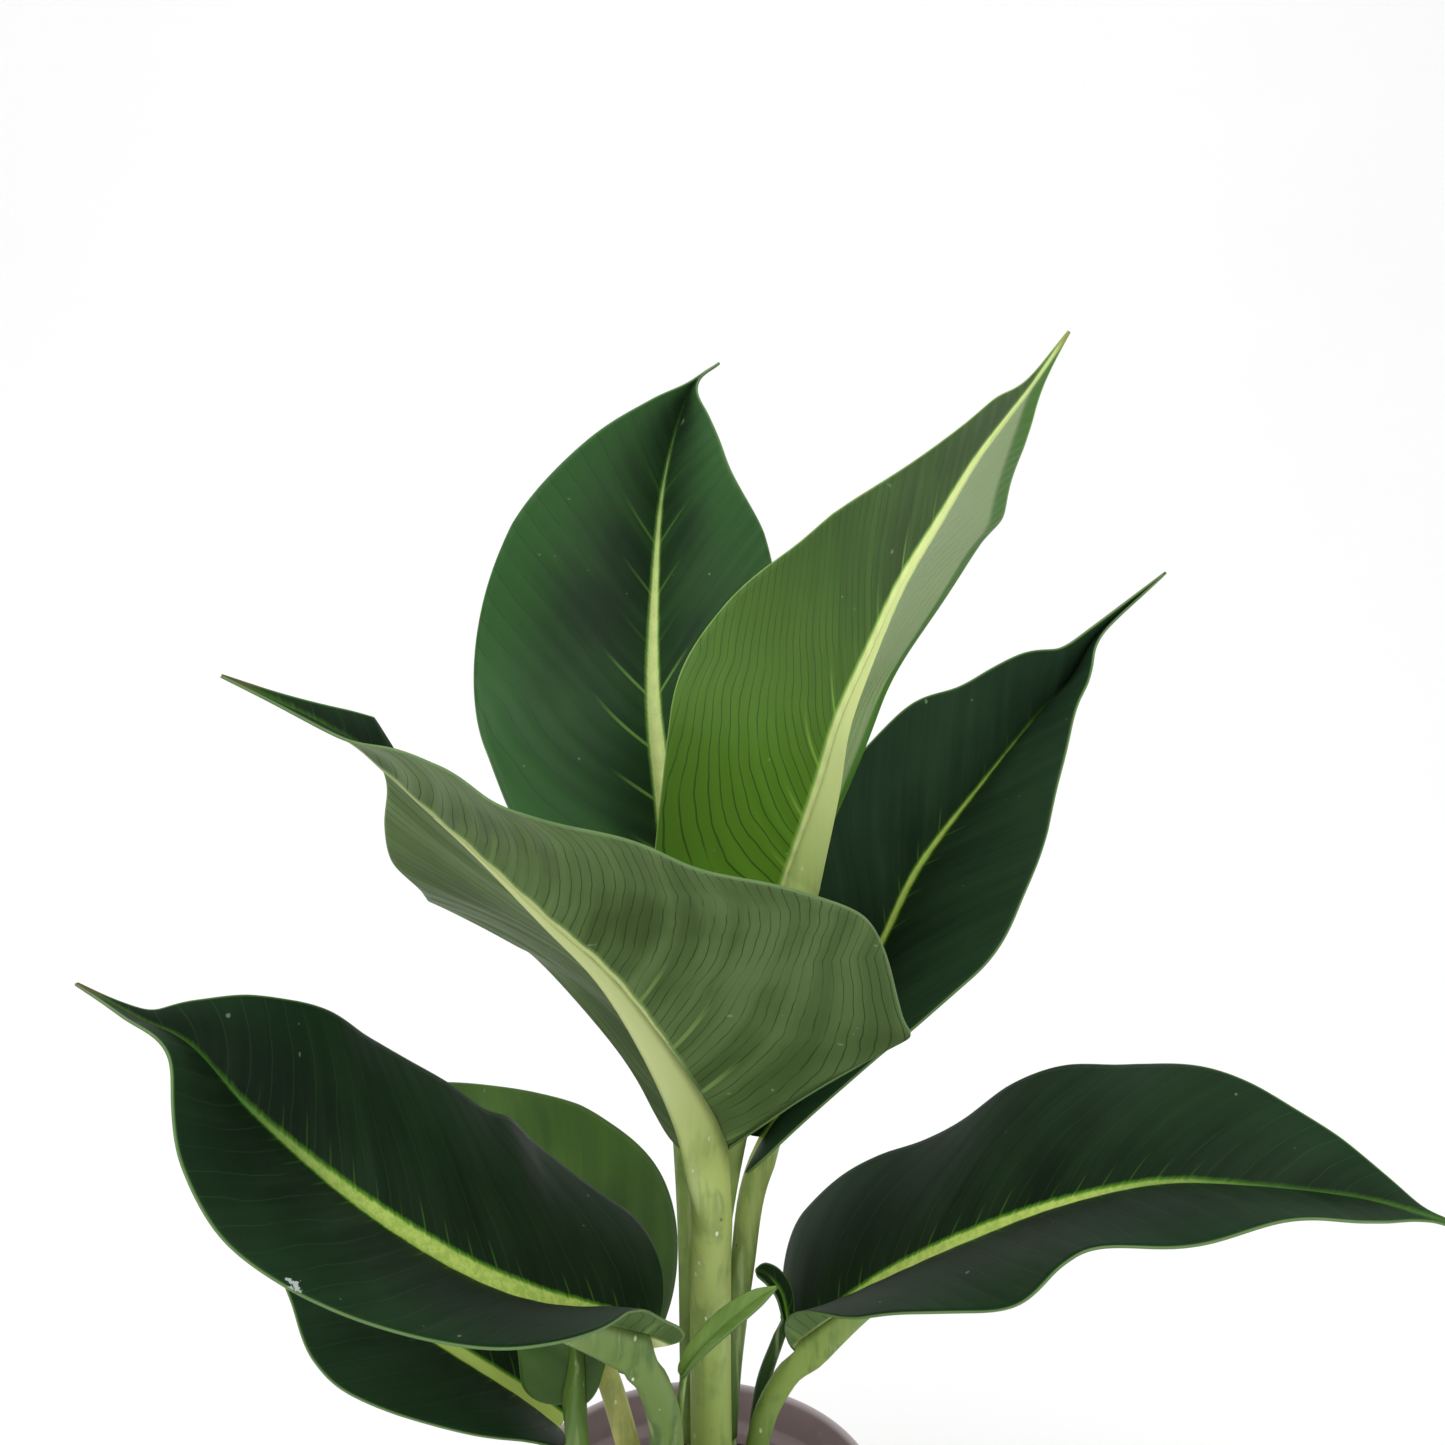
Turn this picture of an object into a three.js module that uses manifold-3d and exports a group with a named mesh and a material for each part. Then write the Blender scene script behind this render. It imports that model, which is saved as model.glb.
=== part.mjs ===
// A young dieffenbachia in a round nursery pot: twelve leaf blades, each held out by its own
// leaf stalk, growing out of the soil of a plain plastic pot. Millimetres, +Z up. The origin is
// the middle of the pot's flat bottom. +X is the viewer's right and -Y points to the viewer.
import * as THREE from "three";
import { mergeVertices } from "three/addons/utils/BufferGeometryUtils.js";
import Module from "manifold-3d";

const wasm = await Module();
wasm.setup();

// ---------------------------------------------------------------- driving dimensions (mm)

const GAP = 0.3; // clearance kept between pieces that touch
const RING = 48; // flats round the pot and the soil

const POT = {
  height: 105,
  bottomRadius: 43,
  shoulderRadius: 54.5, // outside of the tapered wall, just under the collar
  collarRadius: 60,
  collarHeight: 15,
  wall: 1.8,
  floor: 3,
  footRound: 1.5, // rounding under the foot
  flare: 2, // how far the collar's lower edge is drawn in
  lipRound: 1.2, // rounding on top of the lip
  lipHeight: 2.5,
  seat: 2.4, // how far the collar's inside leans in towards the wall
};

const SOIL = {
  level: 90, // in the middle
  crown: 3, // how much lower the soil is at the wall
  shoulderShare: 0.7, // share of the radius where the slope to the wall begins
  shoulderDrop: 0.8, // and how much lower it is there
  holeDepth: 14,
};

const BLADE = {
  thickness: 0.9, // in the middle of a half
  edgeThickness: 0.65,
  neck: 1.2, // half width where the stalk meets the blade, and along the drip tip
  baseRound: 0.07, // share of the length over which the base lobes round out
  lobeReach: 0.18, // share of the length over which the lobes still point backwards
  sweep: 0.45, // how far the side veins lean towards the tip, as a share of the half width
  bend: 0.6, // how much of that lean is gained towards the margin
  arch: 0.06, // arching of each half between midrib and margin, as a share of the half width
  lobePower: 1.5, // how quickly the backward lean of the base lobes fades
  waveWidth: 30, // half width at which the margin waves have their full height
  rowPower: 1.4, // above 1 the grid rows stand closer together towards the stalk
};

// Leaf tables. rib: points along the midrib, from the stalk to the drip tip. face: where the upper
// side looks. left and right are the halves as seen from above, looking to the tip. Each half has
// its width in mm and its lift in degrees, the angle by which it is folded up from flat, as values
// at even steps from the first rib point to the last. lobe: how far the base lobe hangs back, as
// a share of the half width. wave: height in mm, number and start of the waves along the margin.
// rows and columns: how finely the blade is divided, columns for one half.
const LEAVES = {
  back: {
    rib: [[-9, 20, 309], [-11, 30, 330], [-14, 41, 361], [-14, 51, 392], [-12, 58, 424],
      [-7, 61, 448], [-1, 60, 462], [7, 55, 468]],
    face: [0, -1, 0.25],
    left: { width: [39, 54, 56, 47, 29.5, 12, 1, 0], lift: [50, 30, 12, 24, 36, 48, 60, 60],
      lobe: 0.6, wave: [0.8, 3, 0] },
    right: { width: [30, 45, 49, 42, 27, 12, 2, 0], lift: [16, 24, 34, 40, 44, 44, 60, 60],
      lobe: 0.6, wave: [0.8, 3, 0.3] },
    rows: 19, columns: 5,
  },
  top: {
    rib: [[31, -8, 310], [39, -16, 343], [43, -22, 364], [50, -28, 385], [57, -33, 404],
      [66, -36, 421], [75, -37, 437], [83, -36, 448], [90, -34, 457], [100, -30, 471]],
    face: [-0.3, 1, 0.2],
    left: { width: [12, 23, 37, 42, 41, 31, 20, 11, 4, 0],
      lift: [56, 50, 46, 43, 40, 38, 36, 34, 32, 40], lobe: 0.3, wave: [0.8, 3, 0.2] },
    right: { width: [40, 51, 49, 38, 28, 20, 12, 8, 2, 0],
      lift: [24, 36, 54, 64, 70, 74, 76, 78, 78, 70], lobe: 0.8, wave: [0.6, 3, 0] },
    rows: 19, columns: 5,
  },
  front: {
    rib: [[4, -14, 228], [-1, -24, 249], [-12, -40, 277], [-24, -54, 301], [-38, -66, 320],
      [-54, -77, 341], [-65, -85, 355], [-72, -90, 364], [-82, -94, 374], [-106, -102, 389]],
    face: [0.2, 1, 0.2],
    left: { width: [40, 50, 67, 69, 72, 73, 68, 56, 50, 44, 42, 36, 31, 26, 20, 12, 6, 2, 0],
      lift: [4, 4, 0, -12, -24, -34, -38, -45, -60, -60], lobe: -0.65, wave: [2, 4, 0.1] },
    right: { width: [30, 27, 35, 60, 54, 66, 57, 48, 46, 40, 32, 29, 26, 21, 15, 9, 5, 2, 0],
      lift: [40, 44, 38, 32, 34, 50, 62, 85, 120, 120], lobe: 0.75, wave: [1.5, 4, 0.4] },
    rows: 22, columns: 5,
  },
  right_high: {
    rib: [[23, 14, 222], [34, 19, 238], [48, 24, 262], [60, 31, 282], [73, 38, 306],
      [95, 46, 333], [112, 51, 353], [123, 54, 365], [133, 55, 381], [153, 52, 401]],
    face: [-0.2, -1, 0.25],
    left: { width: [24, 27.5, 31, 36, 41, 45, 47, 46.5, 44, 40.5, 31.5, 26, 21, 16.5, 13, 9, 5,
      2, 0],
      lift: [44, 44, 48, 52, 42, 42, 40, 60, 70, 60], lobe: 0.4, wave: [1, 4, 0.5] },
    right: { width: [22, 30, 46, 48, 40, 29, 17, 12, 4, 0],
      lift: [90, 78, 62, 46, 42, 54, 64, 70, 76, 70], lobe: 1.1, wave: [0.8, 4, 0] },
    rows: 20, columns: 5,
  },
  left_low: {
    rib: [[-13.5, -37, 180], [-27.5, -46.5, 192], [-45, -58, 206], [-64, -68, 223],
      [-87, -80, 249], [-108, -90, 277], [-121, -95, 297], [-133, -96, 304.5], [-149, -92, 312]],
    face: [0, -0.7, 0.7],
    left: { width: [12, 14, 19, 31, 43, 47, 46, 43.5, 40, 37, 29.5, 20, 11.5, 8, 4.5, 1.5, 0],
      lift: [112, 96, 76, 60, 46, 46, 62, 68, 60], lobe: 1, wave: [0.5, 3, 0] },
    right: { width: [36, 41, 46, 53, 54, 50, 48.5, 44.5, 39, 33.5, 26, 18.5, 10.5, 6, 3, 1, 0],
      lift: [-22, -20, -18, -20, -20, -14, -26, -40, -40], lobe: 0.6, wave: [0.4, 3, 0.4] },
    rows: 20, columns: 5,
  },
  right_low: {
    rib: [[32, -4, 157], [48, -10, 176], [64, -16, 192], [84, -26, 209], [105, -38, 225],
      [127, -54, 240], [147, -66, 246], [171, -78, 249], [188, -84, 247], [201, -86, 243]],
    face: [0, -0.7, 0.7],
    left: { width: [43, 48, 50.5, 50, 47.5, 46, 49, 49, 44, 39.5, 34.5, 29, 23, 16.5, 9.5, 5, 1.5,
      0.5, 0],
      lift: [-40, -34, -34, -26, -22, -16, -2, -6, -30, -30], lobe: 0.3, wave: [1.2, 3, 0.3] },
    right: { width: [17, 20, 28, 37, 46, 48.5, 47, 48.5, 46, 41.5, 38, 34, 29, 23, 12, 4.5, 1,
      0.5, 0],
      lift: [112, 92, 70, 54, 54, 48, 52, 46, 30, 30], lobe: -0.4, wave: [2, 4, 0.1] },
    rows: 22, columns: 5,
  },
  left_back: {
    rib: [[-33, 4, 152], [-33, 14, 165], [-38, 24, 179], [-49, 33, 192], [-63, 41, 203],
      [-81, 47, 212], [-95, 50, 219], [-104, 51, 223]],
    face: [-0.1, 1, 0.3],
    left: { width: [23, 34, 38, 31, 20, 11, 4, 0], lift: [42, 46, 56, 60, 60, 50, 40, 40],
      lobe: 0.5, wave: [0.8, 3, 0] },
    right: { width: [14, 20, 24, 22, 18, 11, 4, 0], lift: [20, 20, 20, 20, 20, 20, 20, 20],
      lobe: 0.5, wave: [0.8, 3, 0.4] },
    rows: 14, columns: 4,
  },
  left_under: {
    rib: [[-44, -8, 134], [-57, -13, 149], [-78, -20, 170], [-96, -24, 186], [-110, -26, 198],
      [-121, -27, 210], [-127, -26, 217]],
    face: [0, -0.6, 0.8],
    left: { width: [9, 26, 37, 30, 15, 4, 0], lift: [56, 52, 38, 32, 28, 20, 20],
      lobe: 0.2, wave: [0.8, 3, 0] },
    right: { width: [14, 18, 20, 18, 12, 4, 0], lift: [-20, -20, -20, -20, -10, 0, 0],
      lobe: 0.4, wave: [0.8, 3, 0.4] },
    rows: 14, columns: 4,
  },
  left_inner: {
    rib: [[-37, -30, 157], [-36, -27, 173], [-39, -16, 184], [-47, -9, 197], [-60, -4, 208],
      [-73, -1, 216], [-82, 1, 220]],
    face: [0, 1, 0.3],
    left: { width: [5, 9, 11, 10, 8, 4, 0], lift: [20, 16, 12, 10, 8, 6, 5],
      lobe: 0.4, wave: [0.5, 3, 0] },
    right: { width: [14, 18, 19, 16, 11, 5, 0], lift: [10, 10, 8, 6, 4, 0, 0],
      lobe: 0.3, wave: [0.5, 3, 0.4] },
    rows: 12, columns: 4,
  },
  behind_stem: {
    rib: [[28.5, 2, 165], [27, 4, 172], [24.5, 5.5, 176], [21.5, 6.5, 178.5], [18.8, 7, 179.5]],
    face: [0.3, -0.9, 0.3],
    left: { width: [1.5, 2.8, 3, 2, 0], lift: [50, 50, 50, 50, 40], lobe: 0, wave: [0.1, 2, 0] },
    right: { width: [1.5, 2.8, 3, 2, 0], lift: [20, 20, 20, 20, 20], lobe: 0,
      wave: [0.1, 2, 0.4] },
    rows: 10, columns: 3,
  },
  shoot: {
    rib: [[-4, -25, 163], [1, -28, 173], [9, -31, 184], [17, -33, 192], [24, -33, 197]],
    face: [-0.6, -0.3, 0.75],
    left: { width: [2, 4, 4.4, 3, 0], lift: [60, 55, 50, 50, 40], lobe: 0, wave: [0.1, 2, 0] },
    right: { width: [2, 4, 4.4, 3, 0], lift: [20, 10, 0, 0, 10], lobe: 0, wave: [0.1, 2, 0.4] },
    rows: 10, columns: 3,
  },
  front_low: {
    rib: [[4, -40, 102], [4, -52, 112], [4, -66, 118], [3, -82, 114], [0, -96, 100],
      [-5, -104, 80], [-8, -107, 66]],
    face: [0, -0.3, 1],
    left: { width: [12, 18, 20, 18, 12, 5, 0], lift: [30, 25, 20, 15, 10, 10, 10],
      lobe: 0.4, wave: [0.6, 3, 0] },
    right: { width: [12, 18, 20, 18, 12, 5, 0], lift: [30, 25, 20, 15, 10, 10, 10],
      lobe: 0.4, wave: [0.6, 3, 0.4] },
    rows: 12, columns: 4,
  },
};

// The main stem: the wrapped bases of the four upper leaf stalks, an upright oval column.
const MAIN_STEM = {
  middle: [4.5, -2],
  top: 122,
  neckRise: 12, // how far above the soil the widening starts
  topSize: [9.5, 14], // half widths in X and Y at the top
  neckSize: [8, 12.5], // and where it leaves the soil
};

// Leaf stalks. path: from the soil, or from the top of the main stem, up to the blade. radius: at
// both ends of that path. ridge: share of the blade's length along which the stalk runs on as
// the raised midrib under the blade.
const STALKS = {
  back: { path: [[-3, 2, 0], [-3, 2.5, 150], [-3.5, 8, 200], [-7, 18, 262]],
    radius: [2.7, 4], ridge: 0.72, onStem: true },
  top: { path: [[2.6, 6, 0], [3, 6, 150], [7, 5, 195], [14, 0, 240], [23, -9, 282]],
    radius: [3.3, 4.4], ridge: 0.8, onStem: true },
  front: { path: [[4.5, -9, 0], [4.2, -9.5, 160], [4.4, -14, 195], [4.6, -19, 214]],
    radius: [6.6, 6.2], ridge: 0.72, onStem: true },
  right_high: { path: [[9.6, 4.2, 0], [11, 5.5, 150], [14.5, 10, 180], [18, 14.5, 204]],
    radius: [3.3, 4.6], ridge: 0.76, onStem: true },
  left_low: { path: [[-9.3, -28, 0], [-9.3, -28, 120], [-9.6, -30, 152]],
    radius: [6, 4.8], ridge: 0.78 },
  right_low: { path: [[17, -3, 0], [17, -3, 108], [21, -3, 132], [27.2, -3, 146.2]],
    radius: [3.4, 4], ridge: 0.78 },
  left_back: { path: [[-19, -4, 0], [-20, -4.5, 112], [-25, -5, 136]],
    radius: [4, 3.8], ridge: 0.6 },
  left_under: { path: [[-41, -8, 0], [-41, -8, 110], [-42, -7, 124]],
    radius: [2, 2], ridge: 0.7 },
  left_inner: { path: [[-32, -30, 0], [-32, -30, 115], [-35, -33.4, 141.6]],
    radius: [3.2, 3.4], ridge: 0.6 },
  behind_stem: { path: [[18.5, 6.5, 0], [18.5, 6.5, 108], [21, 5.5, 138], [25.5, 2.8, 156]],
    radius: [4, 1.8], ridge: 0.5 },
  shoot: { path: [[-7, -19, 0], [-7, -19, 118], [-5.5, -22, 146]],
    radius: [1.3, 1.1], ridge: 0.5 },
  front_low: { path: [[6, -30, 0], [5.5, -36, 95.5]],
    radius: [1.8, 1.3], ridge: 0.6 },
};

const STALK_SIDES = 8;
const STEM_SIDES = 20;
const HOLE_SIDES = 12;
const STALK_STEPS = 7;
const UPRIGHT_RISE = 4; // the lowest part of a stalk, in its hole, stands upright

// The raised midrib: where it starts on the blade, its first radius as a share of the stalk's top
// radius, its last radius in mm, and how fast it gets thinner in between.
const RIDGE = { steps: 10, start: 0.03, share: 0.8, tipRadius: 0.6, power: 0.8 };

const UP = new THREE.Vector3(0, 0, 1);

// ---------------------------------------------------------------- materials

const material = (color, roughness) =>
  new THREE.MeshStandardMaterial({ color, roughness, metalness: 0 });

const POT_PLASTIC = material(0x9a8586, 0.5);
const SOIL_PEAT = material(0x2b211b, 0.95);
const DARK_BLADE = material(0x20382a, 0.45);
const MID_BLADE = material(0x2f5a34, 0.45);
const YOUNG_BLADE = material(0x5d8a35, 0.5);
const STALK_GREEN = material(0x9fb46a, 0.5);

const BLADE_MATERIALS = {
  back: MID_BLADE,
  top: YOUNG_BLADE,
  left_back: MID_BLADE,
  left_inner: YOUNG_BLADE,
  shoot: YOUNG_BLADE,
};

// ---------------------------------------------------------------- small helpers

const clamp01 = (x) => Math.min(1, Math.max(0, x));
const radians = THREE.MathUtils.degToRad;

// A smooth curve through points; equal steps of its u are equal lengths along it.
function smoothCurve(points) {
  const vectors = points.map((p) => new THREE.Vector3(...p));
  const curve = new THREE.CatmullRomCurve3(vectors, false, "catmullrom", 0.5);
  curve.arcLengthDivisions = 400;
  return curve;
}

// The value at t, from 0 to 1, of a smooth line through evenly spaced values.
function smoothValue(values, t) {
  const curve = smoothCurve(values.map((value) => [value, 0, 0]));
  return curve.getPoint(t).x;
}

// Turns a list of vertices and of faces (triangles or quads) into one closed body.
function closedBody(vertices, faces) {
  const geometry = new THREE.BufferGeometry();
  const index = [];
  for (const face of faces) {
    index.push(face[0], face[1], face[2]);
    if (face.length === 4) {
      index.push(face[0], face[2], face[3]);
    }
  }
  geometry.setAttribute("position", new THREE.Float32BufferAttribute(vertices.flat(), 3));
  geometry.setIndex(index);
  return geometry;
}

function toSolid(geometry) {
  const bare = geometry.clone();
  bare.deleteAttribute("normal");
  bare.deleteAttribute("uv");
  const merged = mergeVertices(bare, 1e-4);
  return new wasm.Manifold(new wasm.Mesh({
    numProp: 3,
    vertProperties: new Float32Array(merged.attributes.position.array),
    triVerts: new Uint32Array(merged.index.array),
  }));
}

function toGeometry(solid) {
  const mesh = solid.getMesh();
  const geometry = new THREE.BufferGeometry();
  geometry.setAttribute("position", new THREE.BufferAttribute(mesh.vertProperties, 3));
  geometry.setIndex(new THREE.BufferAttribute(mesh.triVerts, 1));
  return geometry;
}

// ---------------------------------------------------------------- leaf blades

// The frame of a midrib at u: its point, its direction, the leaf's right side and its upper side.
function ribFrame(leaf, curve, u) {
  const t = curve.getUtoTmapping(u);
  const point = curve.getPoint(t);
  const along = curve.getTangent(t);
  const side = new THREE.Vector3().crossVectors(along, new THREE.Vector3(...leaf.face));
  side.normalize();
  const up = new THREE.Vector3().crossVectors(side, along);
  return { t, point, along, side, up };
}

// A point of the middle surface of one half. u runs along the midrib, v from it to the margin.
function bladePoint(leaf, curve, sideName, u, v) {
  const half = leaf[sideName];
  const frame = ribFrame(leaf, curve, u);
  const sign = sideName === "right" ? 1 : -1;
  const lift = radians(smoothValue(half.lift, frame.t));
  const outward = frame.side.clone().multiplyScalar(sign * Math.cos(lift));
  outward.addScaledVector(frame.up, Math.sin(lift));
  const upward = frame.up.clone().multiplyScalar(Math.cos(lift));
  upward.addScaledVector(frame.side, -sign * Math.sin(lift));

  const round = Math.sqrt(1 - (1 - clamp01(u / BLADE.baseRound)) ** 2);
  const reach = Math.max(0, smoothValue(half.width, frame.t)) * round + BLADE.neck;
  const backward = half.lobe * clamp01(1 - u / BLADE.lobeReach) ** BLADE.lobePower;
  const forward = BLADE.sweep * clamp01(2 * u) - backward;
  const [height, count, start] = half.wave;
  const fade = clamp01(reach / BLADE.waveWidth);
  const wave = height * Math.sin(2 * Math.PI * (count * u + start)) * fade;
  const lean = (1 - BLADE.bend) * v + BLADE.bend * v * v;
  const hump = 4 * v * (1 - v); // 0 at the midrib and at the margin, 1 halfway

  const point = frame.point.clone();
  point.addScaledVector(outward, reach * v);
  point.addScaledVector(frame.along, reach * forward * lean);
  point.addScaledVector(upward, reach * BLADE.arch * hump + wave * v * v);
  return point;
}

// The grid of a blade's middle surface: a row for each u, columns from left margin to right.
function bladeGrid(leaf) {
  const curve = smoothCurve(leaf.rib);
  const grid = [];
  for (let i = 0; i <= leaf.rows; i += 1) {
    const u = (i / leaf.rows) ** BLADE.rowPower;
    const row = [];
    for (let j = -leaf.columns; j <= leaf.columns; j += 1) {
      const sideName = j < 0 ? "left" : "right";
      row.push(bladePoint(leaf, curve, sideName, u, Math.abs(j) / leaf.columns));
    }
    grid.push(row);
  }
  return grid;
}

// The upper side's direction at each point of the grid, from its neighbours.
function gridNormals(grid) {
  const rows = grid.length;
  const columns = grid[0].length;
  const within = (k, count) => Math.min(count - 1, Math.max(0, k));
  const at = (i, j) => grid[within(i, rows)][within(j, columns)];
  return grid.map((row, i) => row.map((point, j) => {
    // The first row is the neck, which takes the direction of the row after it.
    const k = Math.max(1, i);
    const along = at(k + 1, j).clone().sub(at(k - 1, j));
    const across = at(k, j + 1).clone().sub(at(k, j - 1));
    return across.cross(along).normalize();
  }));
}

// A thin closed blade with both faces split into triangles alike.
function bladeGeometry(leaf) {
  const grid = bladeGrid(leaf);
  const normals = gridNormals(grid);
  const rows = grid.length;
  const columns = grid[0].length;
  const vertices = [];
  for (const face of [1, -1]) {
    for (let i = 0; i < rows; i += 1) {
      for (let j = 0; j < columns; j += 1) {
        const v = Math.abs(j - leaf.columns) / leaf.columns;
        const thickness = THREE.MathUtils.lerp(BLADE.thickness, BLADE.edgeThickness, v);
        const point = grid[i][j].clone().addScaledVector(normals[i][j], (face * thickness) / 2);
        vertices.push([point.x, point.y, point.z]);
      }
    }
  }
  const upper = (i, j) => i * columns + j;
  const lower = (i, j) => rows * columns + i * columns + j;
  const faces = [];
  for (let i = 0; i + 1 < rows; i += 1) {
    for (let j = 0; j + 1 < columns; j += 1) {
      faces.push([upper(i, j), upper(i, j + 1), upper(i + 1, j + 1), upper(i + 1, j)]);
      faces.push([lower(i, j), lower(i + 1, j + 1), lower(i, j + 1)]);
      faces.push([lower(i, j), lower(i + 1, j), lower(i + 1, j + 1)]);
    }
  }
  const rim = [];
  for (let j = 0; j + 1 < columns; j += 1) rim.push([0, j]);
  for (let i = 0; i + 1 < rows; i += 1) rim.push([i, columns - 1]);
  for (let j = columns - 1; j > 0; j -= 1) rim.push([rows - 1, j]);
  for (let i = rows - 1; i > 0; i -= 1) rim.push([i, 0]);
  rim.forEach(([i, j], k) => {
    const [nextI, nextJ] = rim[(k + 1) % rim.length];
    faces.push([upper(nextI, nextJ), upper(i, j), lower(i, j), lower(nextI, nextJ)]);
  });
  return closedBody(vertices, faces);
}

// The direction under the midrib that is as far from the one half as from the other.
function undersideOf(leaf, frame) {
  const leftLift = smoothValue(leaf.left.lift, frame.t);
  const rightLift = smoothValue(leaf.right.lift, frame.t);
  const turn = radians((rightLift - leftLift) / 2);
  const under = frame.side.clone().multiplyScalar(Math.sin(turn));
  return under.addScaledVector(frame.up, -Math.cos(turn));
}

// ---------------------------------------------------------------- stalks and the main stem

// A closed tube of changing radius through stations of { point, radius }, with a level foot.
function taperedTube(stations, sides) {
  const curve = smoothCurve(stations.map((station) => station.point));
  const radii = stations.map((station) => station.radius);
  const steps = stations.length - 1;
  const vertices = [];
  let across = new THREE.Vector3(1, 0, 0);
  for (let i = 0; i <= steps; i += 1) {
    const t = i / steps;
    const along = i === 0 ? UP : curve.getTangent(t);
    across = across.clone().addScaledVector(along, -across.dot(along)).normalize();
    const other = new THREE.Vector3().crossVectors(along, across);
    const middle = curve.getPoint(t);
    for (let k = 0; k < sides; k += 1) {
      const angle = (2 * Math.PI * (k + 0.5)) / sides;
      const point = middle.clone();
      point.addScaledVector(across, radii[i] * Math.cos(angle));
      point.addScaledVector(other, radii[i] * Math.sin(angle));
      vertices.push([point.x, point.y, point.z]);
    }
  }
  const faces = [];
  for (let i = 0; i < steps; i += 1) {
    for (let k = 0; k < sides; k += 1) {
      const next = (k + 1) % sides;
      faces.push([i * sides + k, i * sides + next, (i + 1) * sides + next, (i + 1) * sides + k]);
    }
  }
  for (let k = 1; k + 1 < sides; k += 1) {
    faces.push([0, k + 1, k]);
    faces.push([steps * sides, steps * sides + k, steps * sides + k + 1]);
  }
  return closedBody(vertices, faces);
}

// The height of a stalk's foot: on the main stem, or on the bottom of its hole in the soil.
function footHeight(stalk) {
  return stalk.onStem ? MAIN_STEM.top + GAP : SOIL.level - SOIL.holeDepth + GAP;
}

// A stalk rises along its path and then runs on under the blade as its raised midrib.
function stalkGeometry(name) {
  const stalk = STALKS[name];
  const leaf = LEAVES[name];
  const [footRadius, topRadius] = stalk.radius;
  const [x, y] = stalk.path[0];
  const foot = footHeight(stalk);
  const upright = [x, y, (stalk.onStem ? MAIN_STEM.top : SOIL.level) + UPRIGHT_RISE];
  const path = smoothCurve([[x, y, foot], upright, ...stalk.path.slice(1)]);
  const rib = smoothCurve(leaf.rib);
  const stations = [];
  for (let i = 0; i <= STALK_STEPS; i += 1) {
    const point = path.getPointAt(i / STALK_STEPS);
    const radius = THREE.MathUtils.lerp(footRadius, topRadius, i / STALK_STEPS);
    stations.push({ point: [point.x, point.y, point.z], radius });
  }
  for (let i = 0; i <= RIDGE.steps; i += 1) {
    const run = i / RIDGE.steps;
    const u = THREE.MathUtils.lerp(RIDGE.start, stalk.ridge, run);
    const firstRadius = topRadius * RIDGE.share;
    const radius = THREE.MathUtils.lerp(firstRadius, RIDGE.tipRadius, run ** RIDGE.power);
    const frame = ribFrame(leaf, rib, u);
    const sink = BLADE.thickness / 2 + 2 * GAP + radius;
    const point = frame.point.addScaledVector(undersideOf(leaf, frame), sink);
    stations.push({ point: [point.x, point.y, point.z], radius });
  }
  return taperedTube(stations, STALK_SIDES);
}

// The oval column of the main stem, standing in its hole in the soil.
function mainStemGeometry() {
  const foot = SOIL.level - SOIL.holeDepth + GAP;
  const levels = [
    { z: foot, size: MAIN_STEM.neckSize },
    { z: SOIL.level + MAIN_STEM.neckRise, size: MAIN_STEM.neckSize },
    { z: MAIN_STEM.top, size: MAIN_STEM.topSize },
  ];
  return ovalColumn(levels);
}

// An oval column round the main stem's middle, through levels of { z, size }.
function ovalColumn(levels) {
  const sides = STEM_SIDES;
  const [middleX, middleY] = MAIN_STEM.middle;
  const vertices = [];
  for (const { z, size } of levels) {
    for (let k = 0; k < sides; k += 1) {
      const angle = (2 * Math.PI * k) / sides;
      vertices.push([middleX + size[0] * Math.cos(angle), middleY + size[1] * Math.sin(angle), z]);
    }
  }
  const faces = [];
  for (let i = 0; i + 1 < levels.length; i += 1) {
    for (let k = 0; k < sides; k += 1) {
      const next = (k + 1) % sides;
      faces.push([i * sides + k, i * sides + next, (i + 1) * sides + next, (i + 1) * sides + k]);
    }
  }
  const last = (levels.length - 1) * sides;
  for (let k = 1; k + 1 < sides; k += 1) {
    faces.push([0, k + 1, k]);
    faces.push([last, last + k, last + k + 1]);
  }
  return closedBody(vertices, faces);
}

// ---------------------------------------------------------------- pot and soil

// The radius of the pot's inner wall at a height under the collar.
function innerRadius(z) {
  const share = z / (POT.height - POT.collarHeight);
  return THREE.MathUtils.lerp(POT.bottomRadius, POT.shoulderRadius, share) - POT.wall;
}

function potGeometry() {
  const shoulder = POT.height - POT.collarHeight;
  const collarInside = POT.collarRadius - POT.wall;
  const wallTop = shoulder - 1;
  const profile = [
    [0, 0],
    [POT.bottomRadius - POT.footRound, 0],
    [POT.bottomRadius, POT.footRound],
    [POT.shoulderRadius, wallTop],
    [POT.collarRadius - POT.flare, shoulder],
    [POT.collarRadius - POT.flare / 2, POT.height - POT.lipHeight],
    [POT.collarRadius, POT.height - 0.64 * POT.lipHeight],
    [POT.collarRadius - POT.lipRound / 4, POT.height - POT.lipRound / 3],
    [POT.collarRadius - POT.lipRound, POT.height],
    [collarInside - POT.lipRound / 2, POT.height - 0.75 * POT.lipRound],
    [collarInside - POT.seat, shoulder + 2],
    [innerRadius(shoulder), wallTop],
    [innerRadius(POT.floor), POT.floor],
    [0, POT.floor],
  ];
  const geometry = new THREE.LatheGeometry(profile.map((p) => new THREE.Vector2(...p)), RING);
  return geometry.rotateX(Math.PI / 2);
}

// A plain round hole for one stalk. Its flats, not its corners, keep the given radius.
function stalkHole(x, y, radius) {
  const corner = radius / Math.cos(Math.PI / HOLE_SIDES);
  const hole = new THREE.CylinderGeometry(corner, corner, 2 * SOIL.holeDepth, HOLE_SIDES);
  hole.rotateX(Math.PI / 2);
  hole.translate(x, y, SOIL.level);
  return toSolid(hole);
}

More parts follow.
